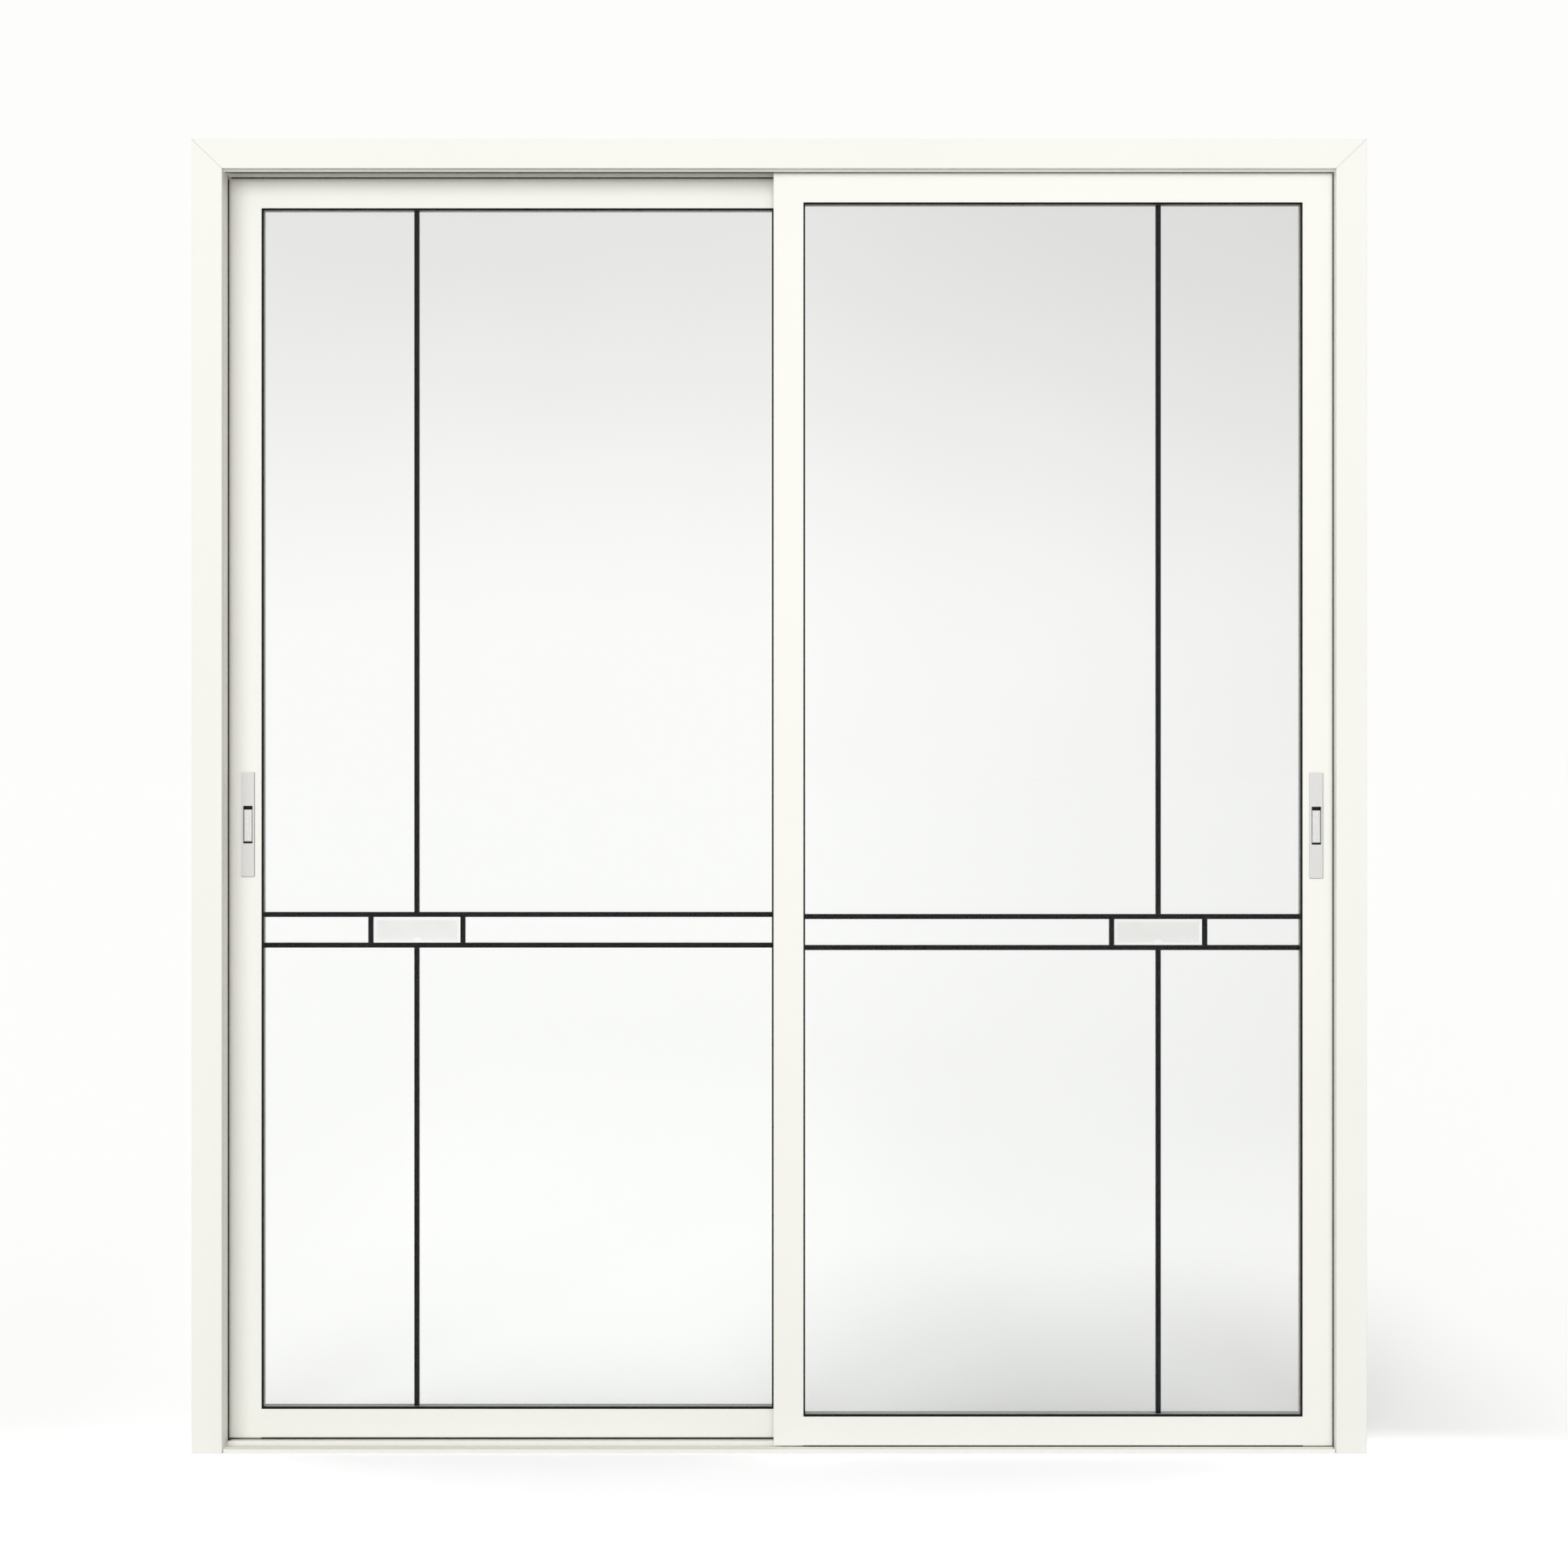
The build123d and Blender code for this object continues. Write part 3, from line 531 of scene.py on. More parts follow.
def new_tree(name, sockets):
    """A node tree with geometry in and out, and named inputs with their defaults."""
    tree = bpy.data.node_groups.new(name, "GeometryNodeTree")
    tree.interface.new_socket("Geometry", in_out="OUTPUT", socket_type="NodeSocketGeometry")
    tree.interface.new_socket("Geometry", in_out="INPUT", socket_type="NodeSocketGeometry")
    for title, kind, default in sockets:
        socket = tree.interface.new_socket(title, in_out="INPUT", socket_type=kind)
        if default is not None:
            socket.default_value = default
    return tree, tree.nodes.new("NodeGroupInput"), tree.nodes.new("NodeGroupOutput")


def grown(name, source, tree, values):
    """Run a tree on a source object and keep the result as a plain mesh in the source's place."""
    modifier = source.modifiers.new(name, "NODES")
    modifier.node_group = tree
    for item in tree.interface.items_tree:
        if item.in_out == "INPUT" and item.name in values:
            modifier[item.identifier] = values[item.name]
    evaluated = source.evaluated_get(bpy.context.evaluated_depsgraph_get())
    mesh = bpy.data.meshes.new_from_object(evaluated)
    mesh.name = name
    source.modifiers.clear()
    result = bpy.data.objects.new(name, mesh)
    bpy.context.scene.collection.objects.link(result)
    bpy.data.objects.remove(source)
    return result


def finish_tree(tree, given, left, geometry):
    """Realize the copies, give them their material and pass them out."""
    real = add_node(tree, "GeometryNodeRealizeInstances", {"Geometry": geometry})
    coated = add_node(
        tree, "GeometryNodeSetMaterial",
        {"Geometry": real.outputs["Geometry"], "Material": given.outputs["Material"]},
    )
    tree.links.new(coated.outputs["Geometry"], left.inputs["Geometry"])


def outward(tree, attribute):
    """The rotation that turns Z along a vector kept on each point."""
    kept = add_node(
        tree, "GeometryNodeInputNamedAttribute", {"Name": attribute}, data_type="FLOAT_VECTOR"
    ).outputs["Attribute"]
    node = add_node(tree, "FunctionNodeAlignRotationToVector", {"Vector": kept}, axis="Z")
    return node.outputs["Rotation"]


def turned(tree, rotation, extra):
    """A rotation with another one about its own axes."""
    return add_node(
        tree, "FunctionNodeRotateRotation", {"Rotation": rotation, "Rotate By": extra},
        rotation_space="LOCAL",
    ).outputs["Rotation"]


def tuft_tree():
    """Tufts set along rows, each leaning a little its own way."""
    tree, given, left = new_tree("brush_tufts", (
        ("Spacing", "NodeSocketFloat", 0.0012),
        ("Tuft Length", "NodeSocketFloat", 0.004),
        ("Tuft Radius", "NodeSocketFloat", 0.0006),
        ("Lean", "NodeSocketFloat", 0.25),
        ("Seed", "NodeSocketInt", 7),
        ("Material", "NodeSocketMaterial", None),
    ))
    value = given.outputs
    rows = add_node(tree, "GeometryNodeMeshToCurve", {"Mesh": value["Geometry"]})
    places = add_node(
        tree, "GeometryNodeResampleCurve",
        {"Curve": rows.outputs["Curve"], "Length": value["Spacing"]}, mode="LENGTH",
    )
    tuft = add_node(
        tree, "GeometryNodeMeshCone",
        {"Vertices": 3, "Radius Top": 0.0, "Radius Bottom": value["Tuft Radius"],
         "Depth": value["Tuft Length"]},
    )
    back = math_node(tree, "MULTIPLY", value["Lean"], -1.0)
    least = add_node(tree, "ShaderNodeCombineXYZ", {"X": back, "Y": back, "Z": -math.pi})
    most = add_node(
        tree, "ShaderNodeCombineXYZ", {"X": value["Lean"], "Y": value["Lean"], "Z": math.pi}
    )
    lean = random_value(tree, "FLOAT_VECTOR", least.outputs[0], most.outputs[0], value["Seed"])
    own = add_node(tree, "FunctionNodeEulerToRotation", {"Euler": lean}).outputs["Rotation"]
    size = random_value(tree, "FLOAT", 0.85, 1.0, value["Seed"])
    tufts = add_node(
        tree, "GeometryNodeInstanceOnPoints",
        {"Points": places.outputs["Curve"], "Instance": tuft.outputs["Mesh"],
         "Rotation": turned(tree, outward(tree, "grow"), own), "Scale": size},
    )
    finish_tree(tree, given, left, tufts.outputs["Instances"])
    return tree


def grow_brush(names, cores, rows, length, detail, material):
    """The dense core of a brush and the tufts along its rows, as two objects."""
    core = mesh_object(names[0], cores)
    core.data.materials.append(material)
    values = {
        "Spacing": detail.tuft_spacing, "Tuft Length": length, "Tuft Radius": detail.tuft_radius,
        "Lean": detail.tuft_lean, "Material": material,
    }
    return core, grown(names[1], mesh_object("brush_rows", rows), tuft_tree(), values)


def random_value(tree, data_type, least, most, seed):
    """A seeded random number or vector for each point."""
    node = add_node(tree, "FunctionNodeRandomValue", data_type=data_type)
    named = {socket.name: socket for socket in node.inputs if socket.enabled}
    for title, value in (("Min", least), ("Max", most), ("Seed", seed)):
        set_socket(tree, named[title], value)
    return next(socket for socket in node.outputs if socket.enabled)


def screw_tree():
    """A screw head on each point, its axis along the point's outward direction."""
    tree, given, left = new_tree("fixing_screws", (
        ("Head", "NodeSocketObject", None),
        ("Seed", "NodeSocketInt", 3),
        ("Material", "NodeSocketMaterial", None),
    ))
    head = add_node(tree, "GeometryNodeObjectInfo", {"Object": given.outputs["Head"]})
    places = add_node(tree, "GeometryNodeMeshToPoints", {"Mesh": given.outputs["Geometry"]})
    turn = random_value(tree, "FLOAT", 0.0, math.pi, given.outputs["Seed"])
    spin = add_node(tree, "FunctionNodeAxisAngleToRotation", {"Axis": (0, 0, 1), "Angle": turn})
    rotation = turned(tree, outward(tree, "facing"), spin.outputs["Rotation"])
    heads = add_node(
        tree, "GeometryNodeInstanceOnPoints",
        {"Points": places.outputs["Points"], "Instance": head.outputs["Geometry"],
         "Rotation": rotation},
    )
    finish_tree(tree, given, left, heads.outputs["Instances"])
    return tree


# Sizes and colours that a user would change

class DoorFinish(bpy.types.PropertyGroup):
    """Colours and gloss of the door's surfaces"""

    lacquer: FloatVectorProperty(
        name="Lacquer", description="Warm white powder coat of the profiles",
        subtype="COLOR", min=0, max=1, default=(0.97, 0.964, 0.918),
    )
    # The casings take a darker copy of the lacquer: painted shade that keeps the fully lit casings from
    # outshining the shaded leaves
    trim_share: FloatProperty(
        name="Trim share", description="Lightness of the casings as a share of the lacquer",
        subtype="FACTOR", min=0, max=1, default=0.965,
    )
    lacquer_roughness: FloatProperty(
        name="Lacquer roughness", description="Roughness of the powder coat",
        subtype="FACTOR", min=0, max=1, default=0.36,
    )
    orange_peel: FloatProperty(
        name="Orange peel", description="Depth of the fine ripple in the powder coat",
        subtype="DISTANCE", unit="LENGTH", min=0, default=0.00025,
    )
    glass: FloatVectorProperty(
        name="Glass", description="Tint of the clear panes",
        subtype="COLOR", min=0, max=1, default=(0.985, 0.99, 0.987),
    )
    glass_shine: FloatProperty(
        name="Glass shine", description="Strength of the panes' reflections, 0.5 is untreated glass",
        subtype="FACTOR", min=0, max=0.5, default=0.12,
    )
    tile: FloatVectorProperty(
        name="Tile", description="Tint of the bevelled tile between the bars",
        subtype="COLOR", min=0, max=1, default=(0.96, 0.955, 0.94),
    )
    gasket: FloatVectorProperty(
        name="Gasket", description="Black rubber round the glass",
        subtype="COLOR", min=0, max=1, default=(0.006, 0.006, 0.006),
    )
    spacer: FloatVectorProperty(
        name="Spacer", description="Bright aluminium between the panes",
        subtype="COLOR", min=0, max=1, default=(0.86, 0.86, 0.84),
    )
    bar: FloatVectorProperty(
        name="Bars", description="Black lacquer of the glazing bars",
        subtype="COLOR", min=0, max=1, default=(0.005, 0.005, 0.006),
    )
    handle: FloatVectorProperty(
        name="Handle", description="Anodised handle plates",
        subtype="COLOR", min=0, max=1, default=(0.9, 0.9, 0.895),
    )
    latch: FloatVectorProperty(
        name="Latch", description="Anodised latch sliders",
        subtype="COLOR", min=0, max=1, default=(0.94, 0.945, 0.95),
    )
    pile: FloatVectorProperty(
        name="Pile", description="Dark pile of the brush seals",
        subtype="COLOR", min=0, max=1, default=(0.05, 0.048, 0.045),
    )


class DoorDetail(bpy.types.PropertyGroup):
    """Sizes of what is added to the construction"""

    tuft_spacing: FloatProperty(
        name="Tuft spacing", description="Distance between tufts along a brush seal",
        subtype="DISTANCE", unit="LENGTH", min=0.0005, default=0.0016,
    )
    tuft_radius: FloatProperty(
        name="Tuft radius", description="Radius of a tuft at its root",
        subtype="DISTANCE", unit="LENGTH", min=0.0001, default=0.0008,
    )
    tuft_lean: FloatProperty(
        name="Tuft lean", description="Most that a tuft leans",
        subtype="ANGLE", unit="ROTATION", min=0, default=0.14,
    )
    tuft_rows: IntProperty(
        name="Tuft rows", description="Rows of tufts across a brush seal", min=1, default=4,
    )
    core_share: FloatProperty(
        name="Core share", description="Height of the dense core as a share of the pile",
        subtype="FACTOR", min=0, max=1, default=0.8,
    )
    sweep_inset: FloatProperty(
        name="Sweep inset", description="From the front face of a leaf to the brush under it",
        subtype="DISTANCE", unit="LENGTH", min=0, default=0.001,
    )
    sweep_width: FloatProperty(
        name="Sweep width", description="Width of the brush under a leaf",
        subtype="DISTANCE", unit="LENGTH", min=0.001, default=0.004,
    )
    sweep_drop: FloatProperty(
        name="Sweep drop", description="How far the brush under a leaf hangs down",
        subtype="DISTANCE", unit="LENGTH", min=0.001, default=0.0029,
    )
    screw_radius: FloatProperty(
        name="Screw head radius", description="Radius of a fixing screw's head",
        subtype="DISTANCE", unit="LENGTH", min=0.001, default=0.0046,
    )
    screw_height: FloatProperty(
        name="Screw head height", description="Height of a fixing screw's head",
        subtype="DISTANCE", unit="LENGTH", min=0.0005, default=0.0018,
    )


class DoorStudio(bpy.types.PropertyGroup):
    """Light, background and camera"""

    sky: FloatProperty(
        name="Sky", description="Level of the even light in front of the door", min=0, default=0.32,
    )
    sky_behind: FloatProperty(
        name="Sky behind", description="Level of the even light behind the door", min=0, default=0.78,
    )
    side_sky: FloatProperty(
        name="Side sky", description="How much more light comes from far left and right",
        min=0, default=0.5,
    )
    sky_color: FloatVectorProperty(
        name="Sky colour", description="Tint of the even light",
        subtype="COLOR", min=0, max=1, default=(1.0, 0.968, 0.932),
    )
    mirrored: FloatProperty(
        name="Mirrored sky", description="Level of the surroundings as gloss shows them",
        min=0, default=0.85,
    )
    key: FloatProperty(
        name="Key", description="Strength of the soft light from the front left", min=0, default=2.08,
    )
    key_color: FloatVectorProperty(
        name="Key colour", description="Tint of the soft light from the front left",
        subtype="COLOR", min=0, max=1, default=(0.975, 0.993, 1.0),
    )
    key_left: FloatProperty(
        name="Key turn", description="How far the key stands to the left",
        subtype="ANGLE", unit="ROTATION", default=math.radians(6),
    )
    key_height: FloatProperty(
        name="Key height", description="How high the key stands above the horizon",
        subtype="ANGLE", unit="ROTATION", default=math.radians(7),
    )
    key_softness: FloatProperty(
        name="Key softness", description="How wide the key looks from the door",
        subtype="ANGLE", unit="ROTATION", default=math.radians(35),
    )
    fill: FloatProperty(
        name="Fill", description="Strength of the soft light on the hidden side", min=0, default=0.35,
    )
    background: FloatVectorProperty(
        name="Background", description="Colour of the background as the camera sees it",
        subtype="COLOR", min=0, max=1, default=(0.985, 0.985, 0.975),
    )
    # Painted shade on the background as seen through glass: darker high up
    upper_dusk: FloatProperty(
        name="Upper dusk", description="How much darker the background turns high up, through glass",
        subtype="FACTOR", min=0, max=1, default=0.18,
    )
    # Painted shade on the background and far floor as seen through glass: darker to the right
    right_dusk: FloatProperty(
        name="Right dusk",
        description="How much darker the background turns to the right, through glass",
        subtype="FACTOR", min=0, max=1, default=0.09,
    )
    # Painted shade on the floor just behind the door
    floor_shade: FloatProperty(
        name="Floor shade", description="How much darker the floor turns just behind the door",
        subtype="FACTOR", min=0, max=1, default=0.2,
    )
    # Painted light that keeps the floor white in front of and behind the door
    front_lift: FloatProperty(
        name="Front lift", description="How much lighter the floor is kept in front of the door",
        subtype="FACTOR", min=0, max=1, default=0.38,
    )
    back_lift: FloatProperty(
        name="Back lift", description="How much lighter the floor is kept behind the door",
        subtype="FACTOR", min=0, max=1, default=0.05,
    )
    distance: FloatProperty(
        name="Camera distance", description="From the front of the casings to the camera",
        subtype="DISTANCE", unit="LENGTH", default=4.3,
    )
    eye: FloatProperty(
        name="Camera height", description="Height of the camera above the floor",
        subtype="DISTANCE", unit="LENGTH", default=1.155,
    )


# Operators

class DOOR_OT_lacquer(bpy.types.Operator):
    """Coat the lining, casings, sill and leaf profiles"""

    bl_idname = "door.lacquer"
    bl_label = "Lacquer the profiles"

    def execute(self, context):
        finish = context.scene.door_finish
        # The lining takes a painted shade line in the gap under the head casing
        dress(powder_coat("white_lacquer", finish, casing_gap_shade), "frame_white")
        dress(powder_coat("sill_lacquer", finish), "sill_aluminium")
        # Darker copy of the lacquer for the casings: painted shade
        trim = powder_coat("trim_lacquer", finish, mitre_line, finish.trim_share)
        for name in NODES:
            if name.startswith("casing_"):
                coat_node(name, trim)
        return {"FINISHED"}


class DOOR_OT_glaze(bpy.types.Operator):
    """Glaze the leaves: panes, tiles, bars, spacers and gaskets"""

    bl_idname = "door.glaze"
    bl_label = "Glaze the leaves"

    def execute(self, context):
        finish = context.scene.door_finish
        dress(float_glass("float_glass", finish), "clear_glass")
        for leaf in LEAVES:
            tile = f"{leaf}_box_tile"
            coat_node(tile, bevelled_glass(tile, finish, *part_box(tile)))
        dress(extruded_rubber("gasket_rubber", finish.gasket, 0.5, 0.15), "gasket_black")
        dress(bar_lacquer("bar_lacquer", finish.bar, 0.34), "bar_black")
        dress(punched_spacer("spacer", finish.spacer), "spacer_pale")
        return {"FINISHED"}


class DOOR_OT_hardware(bpy.types.Operator):
    """Finish the handles, latches, running gear and stops"""

    bl_idname = "door.hardware"
    bl_label = "Finish the hardware"

    def execute(self, context):
        finish = context.scene.door_finish
        for leaf in LEAVES:
            for face in ("front", "back"):
                plate = f"{leaf}_handle_plate_{face}"
                edge_shade = plate_edge_shade(plate)
                coat_node(plate, anodised(plate, finish.handle, 0.34, cup_recess_shade, edge_shade))
        dress(anodised("latch_anodised", finish.latch, 0.26), "latch_silver")
        dress(zinc_plate("zinc_plate", (0.62, 0.62, 0.6)), "gear_steel")
        dress(moulded_nylon("nylon", (0.84, 0.84, 0.8)), "nylon_white")
        dress(extruded_rubber("stop_rubber", (0.05, 0.05, 0.05), 0.6), "stop_rubber")
        return {"FINISHED"}


class DOOR_OT_brush_seals(bpy.types.Operator):
    """Grow the brush seals where a leaf enters a jamb, and along the head"""

    bl_idname = "door.brush_seals"
    bl_label = "Grow the brush seals"

    def execute(self, context):
        detail = context.scene.door_detail
        tracks = [sum(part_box(f"{leaf}_lock_stile"), Vector()).y / 2 for leaf in LEAVES]
        material = brush_pile("brush_pile", context.scene.door_finish.pile)
        rows, cores = bmesh.new(), bmesh.new()
        grow = rows.verts.layers.float_vector.new("grow")
        strips = loose_boxes("pile_seals")
        for low, high in strips:
            self.set_strip(rows, grow, cores, low, high, tracks, detail)
        depth = min(high.y - low.y for low, high in strips)
        names = ("brush_cores", "brush_tufts")
        core, tufts = grow_brush(names, cores, rows, depth, detail, material)
        for piece in (core, tufts):
            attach(piece, "door_frame")
        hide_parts("pile_seals")
        return {"FINISHED"}

    def set_strip(self, rows, grow, cores, low, high, tracks, detail):
        """Lay the dense core and the rows of tufts of one strip."""
        middle = (low + high) / 2
        track = min(tracks, key=lambda line: abs(line - middle.y))
        toward = math.copysign(1.0, track - middle.y)
        root = low.y if toward > 0 else high.y
        tip = root + toward * (high.y - low.y) * detail.core_share
        run = 0 if high.x - low.x > high.z - low.z else 2
        across = 2 - run
        inset = detail.tuft_radius
        block_low, block_high = low.copy(), high.copy()
        block_low.y, block_high.y = min(root, tip), max(root, tip)
        block_low[across] += inset
        block_high[across] -= inset
        add_block(cores, block_low, block_high)
        width = high[across] - low[across] - 2 * inset
        for row in range(detail.tuft_rows):
            first = Vector((0, root, 0))
            first[across] = low[across] + inset + width * row / (detail.tuft_rows - 1)
            last = first.copy()
            first[run], last[run] = low[run] + inset, high[run] - inset
            add_row(rows, grow, (first, last), (0, toward, 0))


class DOOR_OT_sweeps(bpy.types.Operator):
    """Hang a dark brush under the front edge of each leaf"""

    bl_idname = "door.sweeps"
    bl_label = "Hang the sweeps"

    def execute(self, context):
        detail = context.scene.door_detail
        for leaf in LEAVES:
            material = brush_pile(f"{leaf}_sweep_pile", context.scene.door_finish.pile)
            low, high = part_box(f"{leaf}_bottom_rail")
            rows, cores = bmesh.new(), bmesh.new()
            grow = rows.verts.layers.float_vector.new("grow")
            near = low.y + detail.sweep_inset
            far = near + detail.sweep_width
            foot = low.z - detail.sweep_drop * detail.core_share
            add_block(cores, Vector((low.x, near, foot)), Vector((high.x, far, low.z)))
            for row in range(detail.tuft_rows):
                line = near + detail.sweep_width * row / (detail.tuft_rows - 1)
                ends = [(end, line, low.z) for end in (low.x, high.x)]
                add_row(rows, grow, ends, (0, 0, -1))
            names = (f"{leaf}_sweep_core", f"{leaf}_sweep_tufts")
            core, tufts = grow_brush(names, cores, rows, detail.sweep_drop, detail, material)
            for piece in (core, tufts):
                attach(piece, f"{leaf}_leaf")
        return {"FINISHED"}


class DOOR_OT_fixing_screws(bpy.types.Operator):
    """Set a pan-head screw in each fixing hole of the lining and the sill"""

    bl_idname = "door.fixing_screws"
    bl_label = "Set the fixing screws"

    def execute(self, context):
        detail = context.scene.door_detail
        points = bmesh.new()
        facing = points.verts.layers.float_vector.new("facing")
        for mount in RECORD["mounts"]:
            if mount["kind"] == "bolt_pattern":
                self.add_pattern(points, facing, mount)
        head = mesh_object("screw_head", self.screw_head(detail.screw_radius, detail.screw_height))
        values = {"Head": head, "Material": zinc_plate("screw_zinc", (0.7, 0.7, 0.68))}
        screws = grown("fixing_screws", mesh_object("screw_places", points), screw_tree(), values)
        bpy.data.objects.remove(head)
        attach(screws, "door_frame")
        return {"FINISHED"}

    def add_pattern(self, points, facing, mount):
        """Add a point on the inner face of the wall at each hole of a pattern."""
        axis = Vector(mount["axis"])
        along = [index for index in range(3) if abs(axis[index]) < 0.5]
        reach = [mount["dims"].get(key, 0.0) / 2000 for key in ("spacing_x_mm", "spacing_y_mm")]
        wall = SILL_PLATE if mount["name"] == "sill_fixings" else LINING_WEB
        four = mount["dims"]["count"] == 4
        signs = ((1, 1), (1, -1), (-1, 1), (-1, -1)) if four else ((1, 0), (-1, 0))
        for first, second in signs:
            spot = Vector(mount["pos_m"]) - axis * wall
            spot[along[0]] += first * reach[0]
            spot[along[1]] += second * reach[1]
            points.verts.new(spot)[facing] = -axis

    def screw_head(self, radius, height):
        """Pan head with a cross recess: rings from the rim inwards, closed at both ends."""
        recess = 0.5 * radius
        rings = (
            (radius, 0.0, False), (radius, 0.45 * height, False), (0.93 * radius, 0.8 * height, False),
            (0.75 * radius, height, False), (recess, height, True), (0.8 * recess, 0.35 * height, True),
        )
        bm = bmesh.new()
        loops = []
        for ring_radius, ring_height, crossed in rings:
            loop = []
            for step in range(SCREW_SEGMENTS):
                turn = 2 * math.pi * step / SCREW_SEGMENTS
                share = 0.42 + 0.58 * abs(math.cos(2 * turn)) ** 3 if crossed else 1.0
                reach = ring_radius * share
                spot = (reach * math.cos(turn), reach * math.sin(turn), ring_height)
                loop.append(bm.verts.new(spot))
            loops.append(loop)
        for lower, upper in zip(loops, loops[1:]):
            for step in range(SCREW_SEGMENTS):
                following = (step + 1) % SCREW_SEGMENTS
                bm.faces.new((lower[step], lower[following], upper[following], upper[step]))
        bm.faces.new(list(reversed(loops[0])))
        bm.faces.new(loops[-1])
        bmesh.ops.triangulate(bm, faces=[face for face in bm.faces if len(face.verts) > 4])
        return bm


class DOOR_OT_studio(bpy.types.Operator):
    """Lay the floor and set the lights, the background and the camera"""

    bl_idname = "door.studio"
    bl_label = "Set up the studio"

    def execute(self, context):
        studio = context.scene.door_studio
        self.lay_floor(studio)
        self.light_world(context.scene, studio)
        self.add_sun("key", studio.key, -studio.key_left, studio)
        self.add_sun("fill", studio.fill, math.pi - studio.key_left, studio)
        self.aim_camera(context.scene, studio)
        context.scene.view_settings.view_transform = "Standard"
        return {"FINISHED"}

    def open_path(self, tree):
        """1 for what the camera sees, straight or through glass, and 0 for light that is passed on."""
        path = add_node(tree, "ShaderNodeLightPath").outputs
        seen = math_node(tree, "MAXIMUM", path["Is Camera Ray"], path["Is Transmission Ray"])
        passed_on = math_node(tree, "MINIMUM", path["Diffuse Depth"], 1.0)
        return math_node(tree, "MULTIPLY", seen, math_node(tree, "SUBTRACT", 1.0, passed_on))

    def lay_floor(self, studio):
        """A wide pale floor that keeps the door's shadow and meets the background unseen."""
        bm = bmesh.new()
        level = CAD_LOW.z - FLOOR_DROP
        corners = ((-1, -1), (1, -1), (1, 1), (-1, 1))
        bm.faces.new([bm.verts.new((x * FLOOR_REACH, y * FLOOR_REACH, level)) for x, y in corners])
        floor = mesh_object("floor", bm)
        material, tree, shader = new_material("pale_floor")
        tree.nodes.remove(shader)
        skies = (studio.sky, studio.sky_behind, studio.side_sky)
        even = sum(weight * sky for weight, sky in zip(SKY_WEIGHTS, skies))
        suns = (studio.key + studio.fill) * math.sin(studio.key_height) / math.pi
        lit = [even * sky + suns * key for sky, key in zip(studio.sky_color, studio.key_color)]
        seen = tuple(channel / light for channel, light in zip(studio.background, lit))
        # Painted light and shade near the door
        seen = scaled(tree, seen, self.floor_gain(tree, studio))
        color = blend_colors(tree, self.open_path(tree), FLOOR_BOUNCE, seen)
        diffuse = add_node(tree, "ShaderNodeBsdfDiffuse", {"Color": color})
        fill_inputs(tree, tree.nodes["Material Output"], {"Surface": diffuse.outputs["BSDF"]})
        floor.data.materials.append(material)

    def floor_gain(self, tree, studio):
        """Painted light that keeps the floor lighter near the door, painted shade that darkens it
        behind the door, and painted shade to the right seen through glass.
        """
        axes = object_axes(tree)
        front = ramp(tree, axes["Y"], *UNDER_DOOR, 1.0, 0.0)
        front = math_node(tree, "MULTIPLY", front, ramp(tree, axes["Y"], *FRONT_FADE))
        behind = ramp(tree, axes["Y"], *UNDER_DOOR)
        behind = math_node(tree, "MULTIPLY", behind, ramp(tree, axes["Y"], *BACK_FADE, 1.0, 0.0))
        # Painted light in front of and behind the door
        painted_lift = math_node(tree, "MULTIPLY", front, studio.front_lift)
        painted_lift = math_node(tree, "MULTIPLY_ADD", behind, studio.back_lift, painted_lift)
        # Painted shade behind the door, deeper to the right
        near = math_node(tree, "ADD", ramp(tree, axes["Y"], *SHADE_BACK, 1.0, 0.0), SHADE_REST)
        shade = math_node(tree, "MULTIPLY", near, ramp(tree, axes["X"], *SHADE_RIGHT))
        depth = math_node(tree, "MULTIPLY", behind, studio.floor_shade)
        shade = math_node(tree, "MULTIPLY", shade, depth)
        beside = [CAD_HIGH.x + fade for fade in SIDE_FADE]
        inside = ramp(tree, math_node(tree, "ABSOLUTE", axes["X"]), *beside, 1.0, 0.0)
        gain = math_node(tree, "MULTIPLY", math_node(tree, "SUBTRACT", painted_lift, shade), inside)
        gain = math_node(tree, "ADD", gain, 1.0)
        away = math_node(tree, "ADD", axes["Y"], studio.distance - CAD_LOW.y)
        across = math_node(tree, "DIVIDE", axes["X"], away)
        # Painted shade to the right, seen through glass
        right = ramp(tree, across, *DUSK_RIGHT, 0.0, studio.right_dusk, smooth=False)
        right = math_node(tree, "MULTIPLY", right, ramp(tree, axes["Y"], *FAR_FLOOR))
        through = add_node(tree, "ShaderNodeLightPath").outputs["Is Transmission Ray"]
        right = math_node(tree, "MULTIPLY", right, through)
        return math_node(tree, "MULTIPLY", gain, math_node(tree, "SUBTRACT", 1.0, right))

    def light_world(self, scene, studio):
        """Even light all round, white to the camera, with painted shade seen through glass: darker high
        up and to the right.
        """
        world = bpy.data.worlds.new("studio")
        scene.world = world
        world.use_nodes = True
        tree = world.node_tree
        tree.nodes.clear()
        path = add_node(tree, "ShaderNodeLightPath").outputs
        way = add_node(tree, "ShaderNodeTexCoord").outputs["Generated"]
        axes = add_node(tree, "ShaderNodeSeparateXYZ", {"Vector": way}).outputs
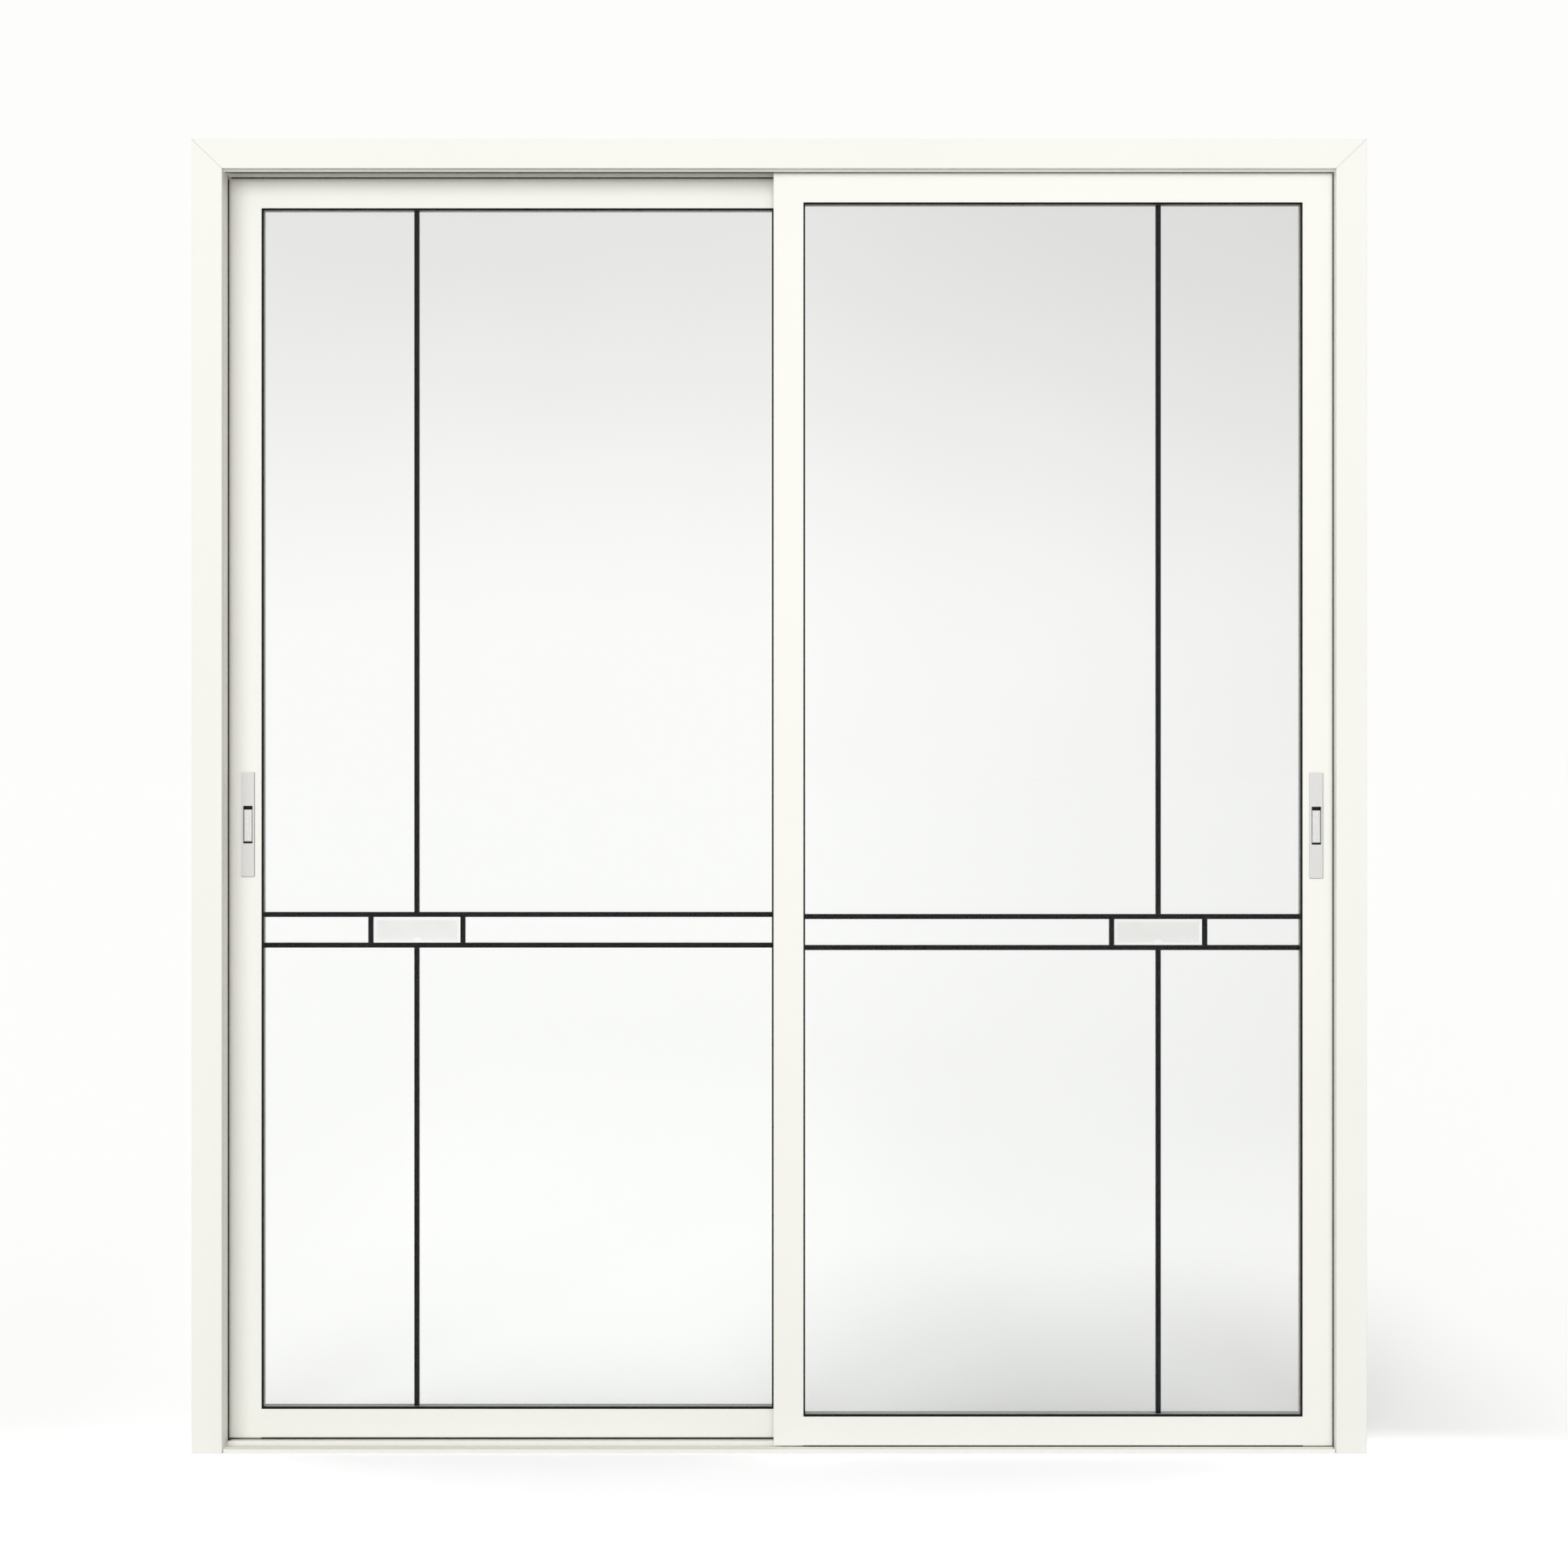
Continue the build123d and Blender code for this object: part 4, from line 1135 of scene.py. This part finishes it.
        # Painted shade seen through glass: darker high up, with a soft cloud, and darker to the right
        high = ramp(tree, axes["Z"], *DUSK_RISE)
        cloud = add_node(
            tree, "ShaderNodeTexNoise", {"Vector": way, "Scale": CLOUD_SCALE, "Detail": 2.0}
        )
        drift = spread(tree, cloud.outputs["Fac"], -DUSK_DRIFT, DUSK_DRIFT)
        right = ramp(tree, axes["X"], *DUSK_RIGHT, 0.0, studio.right_dusk, smooth=False)
        dusk = math_node(tree, "MULTIPLY", math_node(tree, "ADD", high, drift), studio.upper_dusk)
        dusk = math_node(tree, "ADD", dusk, right)
        through = blend_colors(tree, dusk, studio.background, (0, 0, 0))
        level = ramp(tree, axes["Y"], *FRONT_TO_BACK, studio.sky, studio.sky_behind, smooth=False)
        sideways = math_node(tree, "ABSOLUTE", axes["X"])
        sides = ramp(tree, sideways, *TO_THE_SIDES, 0.0, studio.side_sky)
        level = math_node(tree, "ADD", level, sides)
        even = scaled(tree, tuple(studio.sky_color), level)
        gloss = (studio.mirrored + MIRROR_LOW, studio.mirrored + MIRROR_HIGH)
        mirrored = ramp(tree, axes["Z"], *MIRROR_RISE, *gloss)
        color = blend_colors(tree, path["Is Glossy Ray"], even, mirrored)
        color = blend_colors(tree, self.open_path(tree), color, through)
        color = blend_colors(tree, path["Is Camera Ray"], color, studio.background)
        twice = math_node(tree, "MULTIPLY", path["Is Transmission Ray"], 0.5)
        bounced = math_node(tree, "MINIMUM", path["Diffuse Depth"], 1.0)
        twice = math_node(tree, "MULTIPLY", twice, bounced)
        strength = math_node(tree, "SUBTRACT", 1.0, twice)
        light = add_node(tree, "ShaderNodeBackground", {"Color": color, "Strength": strength})
        add_node(tree, "ShaderNodeOutputWorld", {"Surface": light.outputs["Background"]})

    def add_sun(self, name, strength, turn, studio):
        """A wide soft sun that shines from a turn round the door and shows in no reflection."""
        lamp = bpy.data.lights.new(name, "SUN")
        lamp.energy = strength
        lamp.color = studio.key_color
        lamp.angle = studio.key_softness
        obj = bpy.data.objects.new(name, lamp)
        flat = math.cos(studio.key_height)
        rise = math.sin(studio.key_height)
        towards = Vector((math.sin(turn) * flat, -math.cos(turn) * flat, rise))
        obj.rotation_mode = "QUATERNION"
        obj.rotation_quaternion = (-towards).to_track_quat("-Z", "Y")
        obj.location = towards * SUN_AWAY
        obj.visible_glossy = False
        obj.visible_transmission = False
        bpy.context.scene.collection.objects.link(obj)

    def aim_camera(self, scene, studio):
        """Camera straight in front, shifted down so that uprights stay upright."""
        camera = bpy.data.cameras.new("camera")
        camera.sensor_width = SENSOR * 1000
        camera.lens = SENSOR * 1000 * studio.distance / VIEW_WIDTH
        camera.shift_x = (IMAGE_SIDE / 2 - DOOR_MIDDLE_PIXEL) / IMAGE_SIDE
        camera.shift_y = (HORIZON_PIXEL - IMAGE_SIDE / 2) / IMAGE_SIDE
        obj = bpy.data.objects.new("camera", camera)
        obj.location = (0, CAD_LOW.y - studio.distance, studio.eye)
        obj.rotation_euler = (math.pi / 2, 0, 0)
        scene.collection.objects.link(obj)
        scene.camera = obj


class DOOR_PT_panel(bpy.types.Panel):
    """Steps that dress the door, in order"""

    bl_label = "Glass sliding door"
    bl_idname = "DOOR_PT_panel"
    bl_space_type = "VIEW_3D"
    bl_region_type = "UI"
    bl_category = "Door"

    def draw(self, context):
        for step in STEPS:
            self.layout.operator(step.bl_idname)
        for title in GROUPS:
            group = getattr(context.scene, title)
            for name in group.__annotations__:
                self.layout.prop(group, name)


STEPS = (
    DOOR_OT_lacquer, DOOR_OT_glaze, DOOR_OT_hardware, DOOR_OT_brush_seals, DOOR_OT_sweeps,
    DOOR_OT_fixing_screws, DOOR_OT_studio,
)
GROUPS = {"door_finish": DoorFinish, "door_detail": DoorDetail, "door_studio": DoorStudio}


def register():
    """Register the properties, the operators and the panel."""
    for title, group in GROUPS.items():
        bpy.utils.register_class(group)
        setattr(bpy.types.Scene, title, PointerProperty(type=group))
    for step in (*STEPS, DOOR_PT_panel):
        bpy.utils.register_class(step)


def unregister():
    """Take the panel, the operators and the properties out again."""
    for step in (DOOR_PT_panel, *reversed(STEPS)):
        bpy.utils.unregister_class(step)
    for title, group in GROUPS.items():
        delattr(bpy.types.Scene, title)
        bpy.utils.unregister_class(group)


def main():
    """Dress the door step by step."""
    register()
    bpy.ops.door.lacquer()
    bpy.ops.door.glaze()
    bpy.ops.door.hardware()
    bpy.ops.door.brush_seals()
    bpy.ops.door.sweeps()
    bpy.ops.door.fixing_screws()
    bpy.ops.door.studio()


if __name__ == "__main__":
    main()
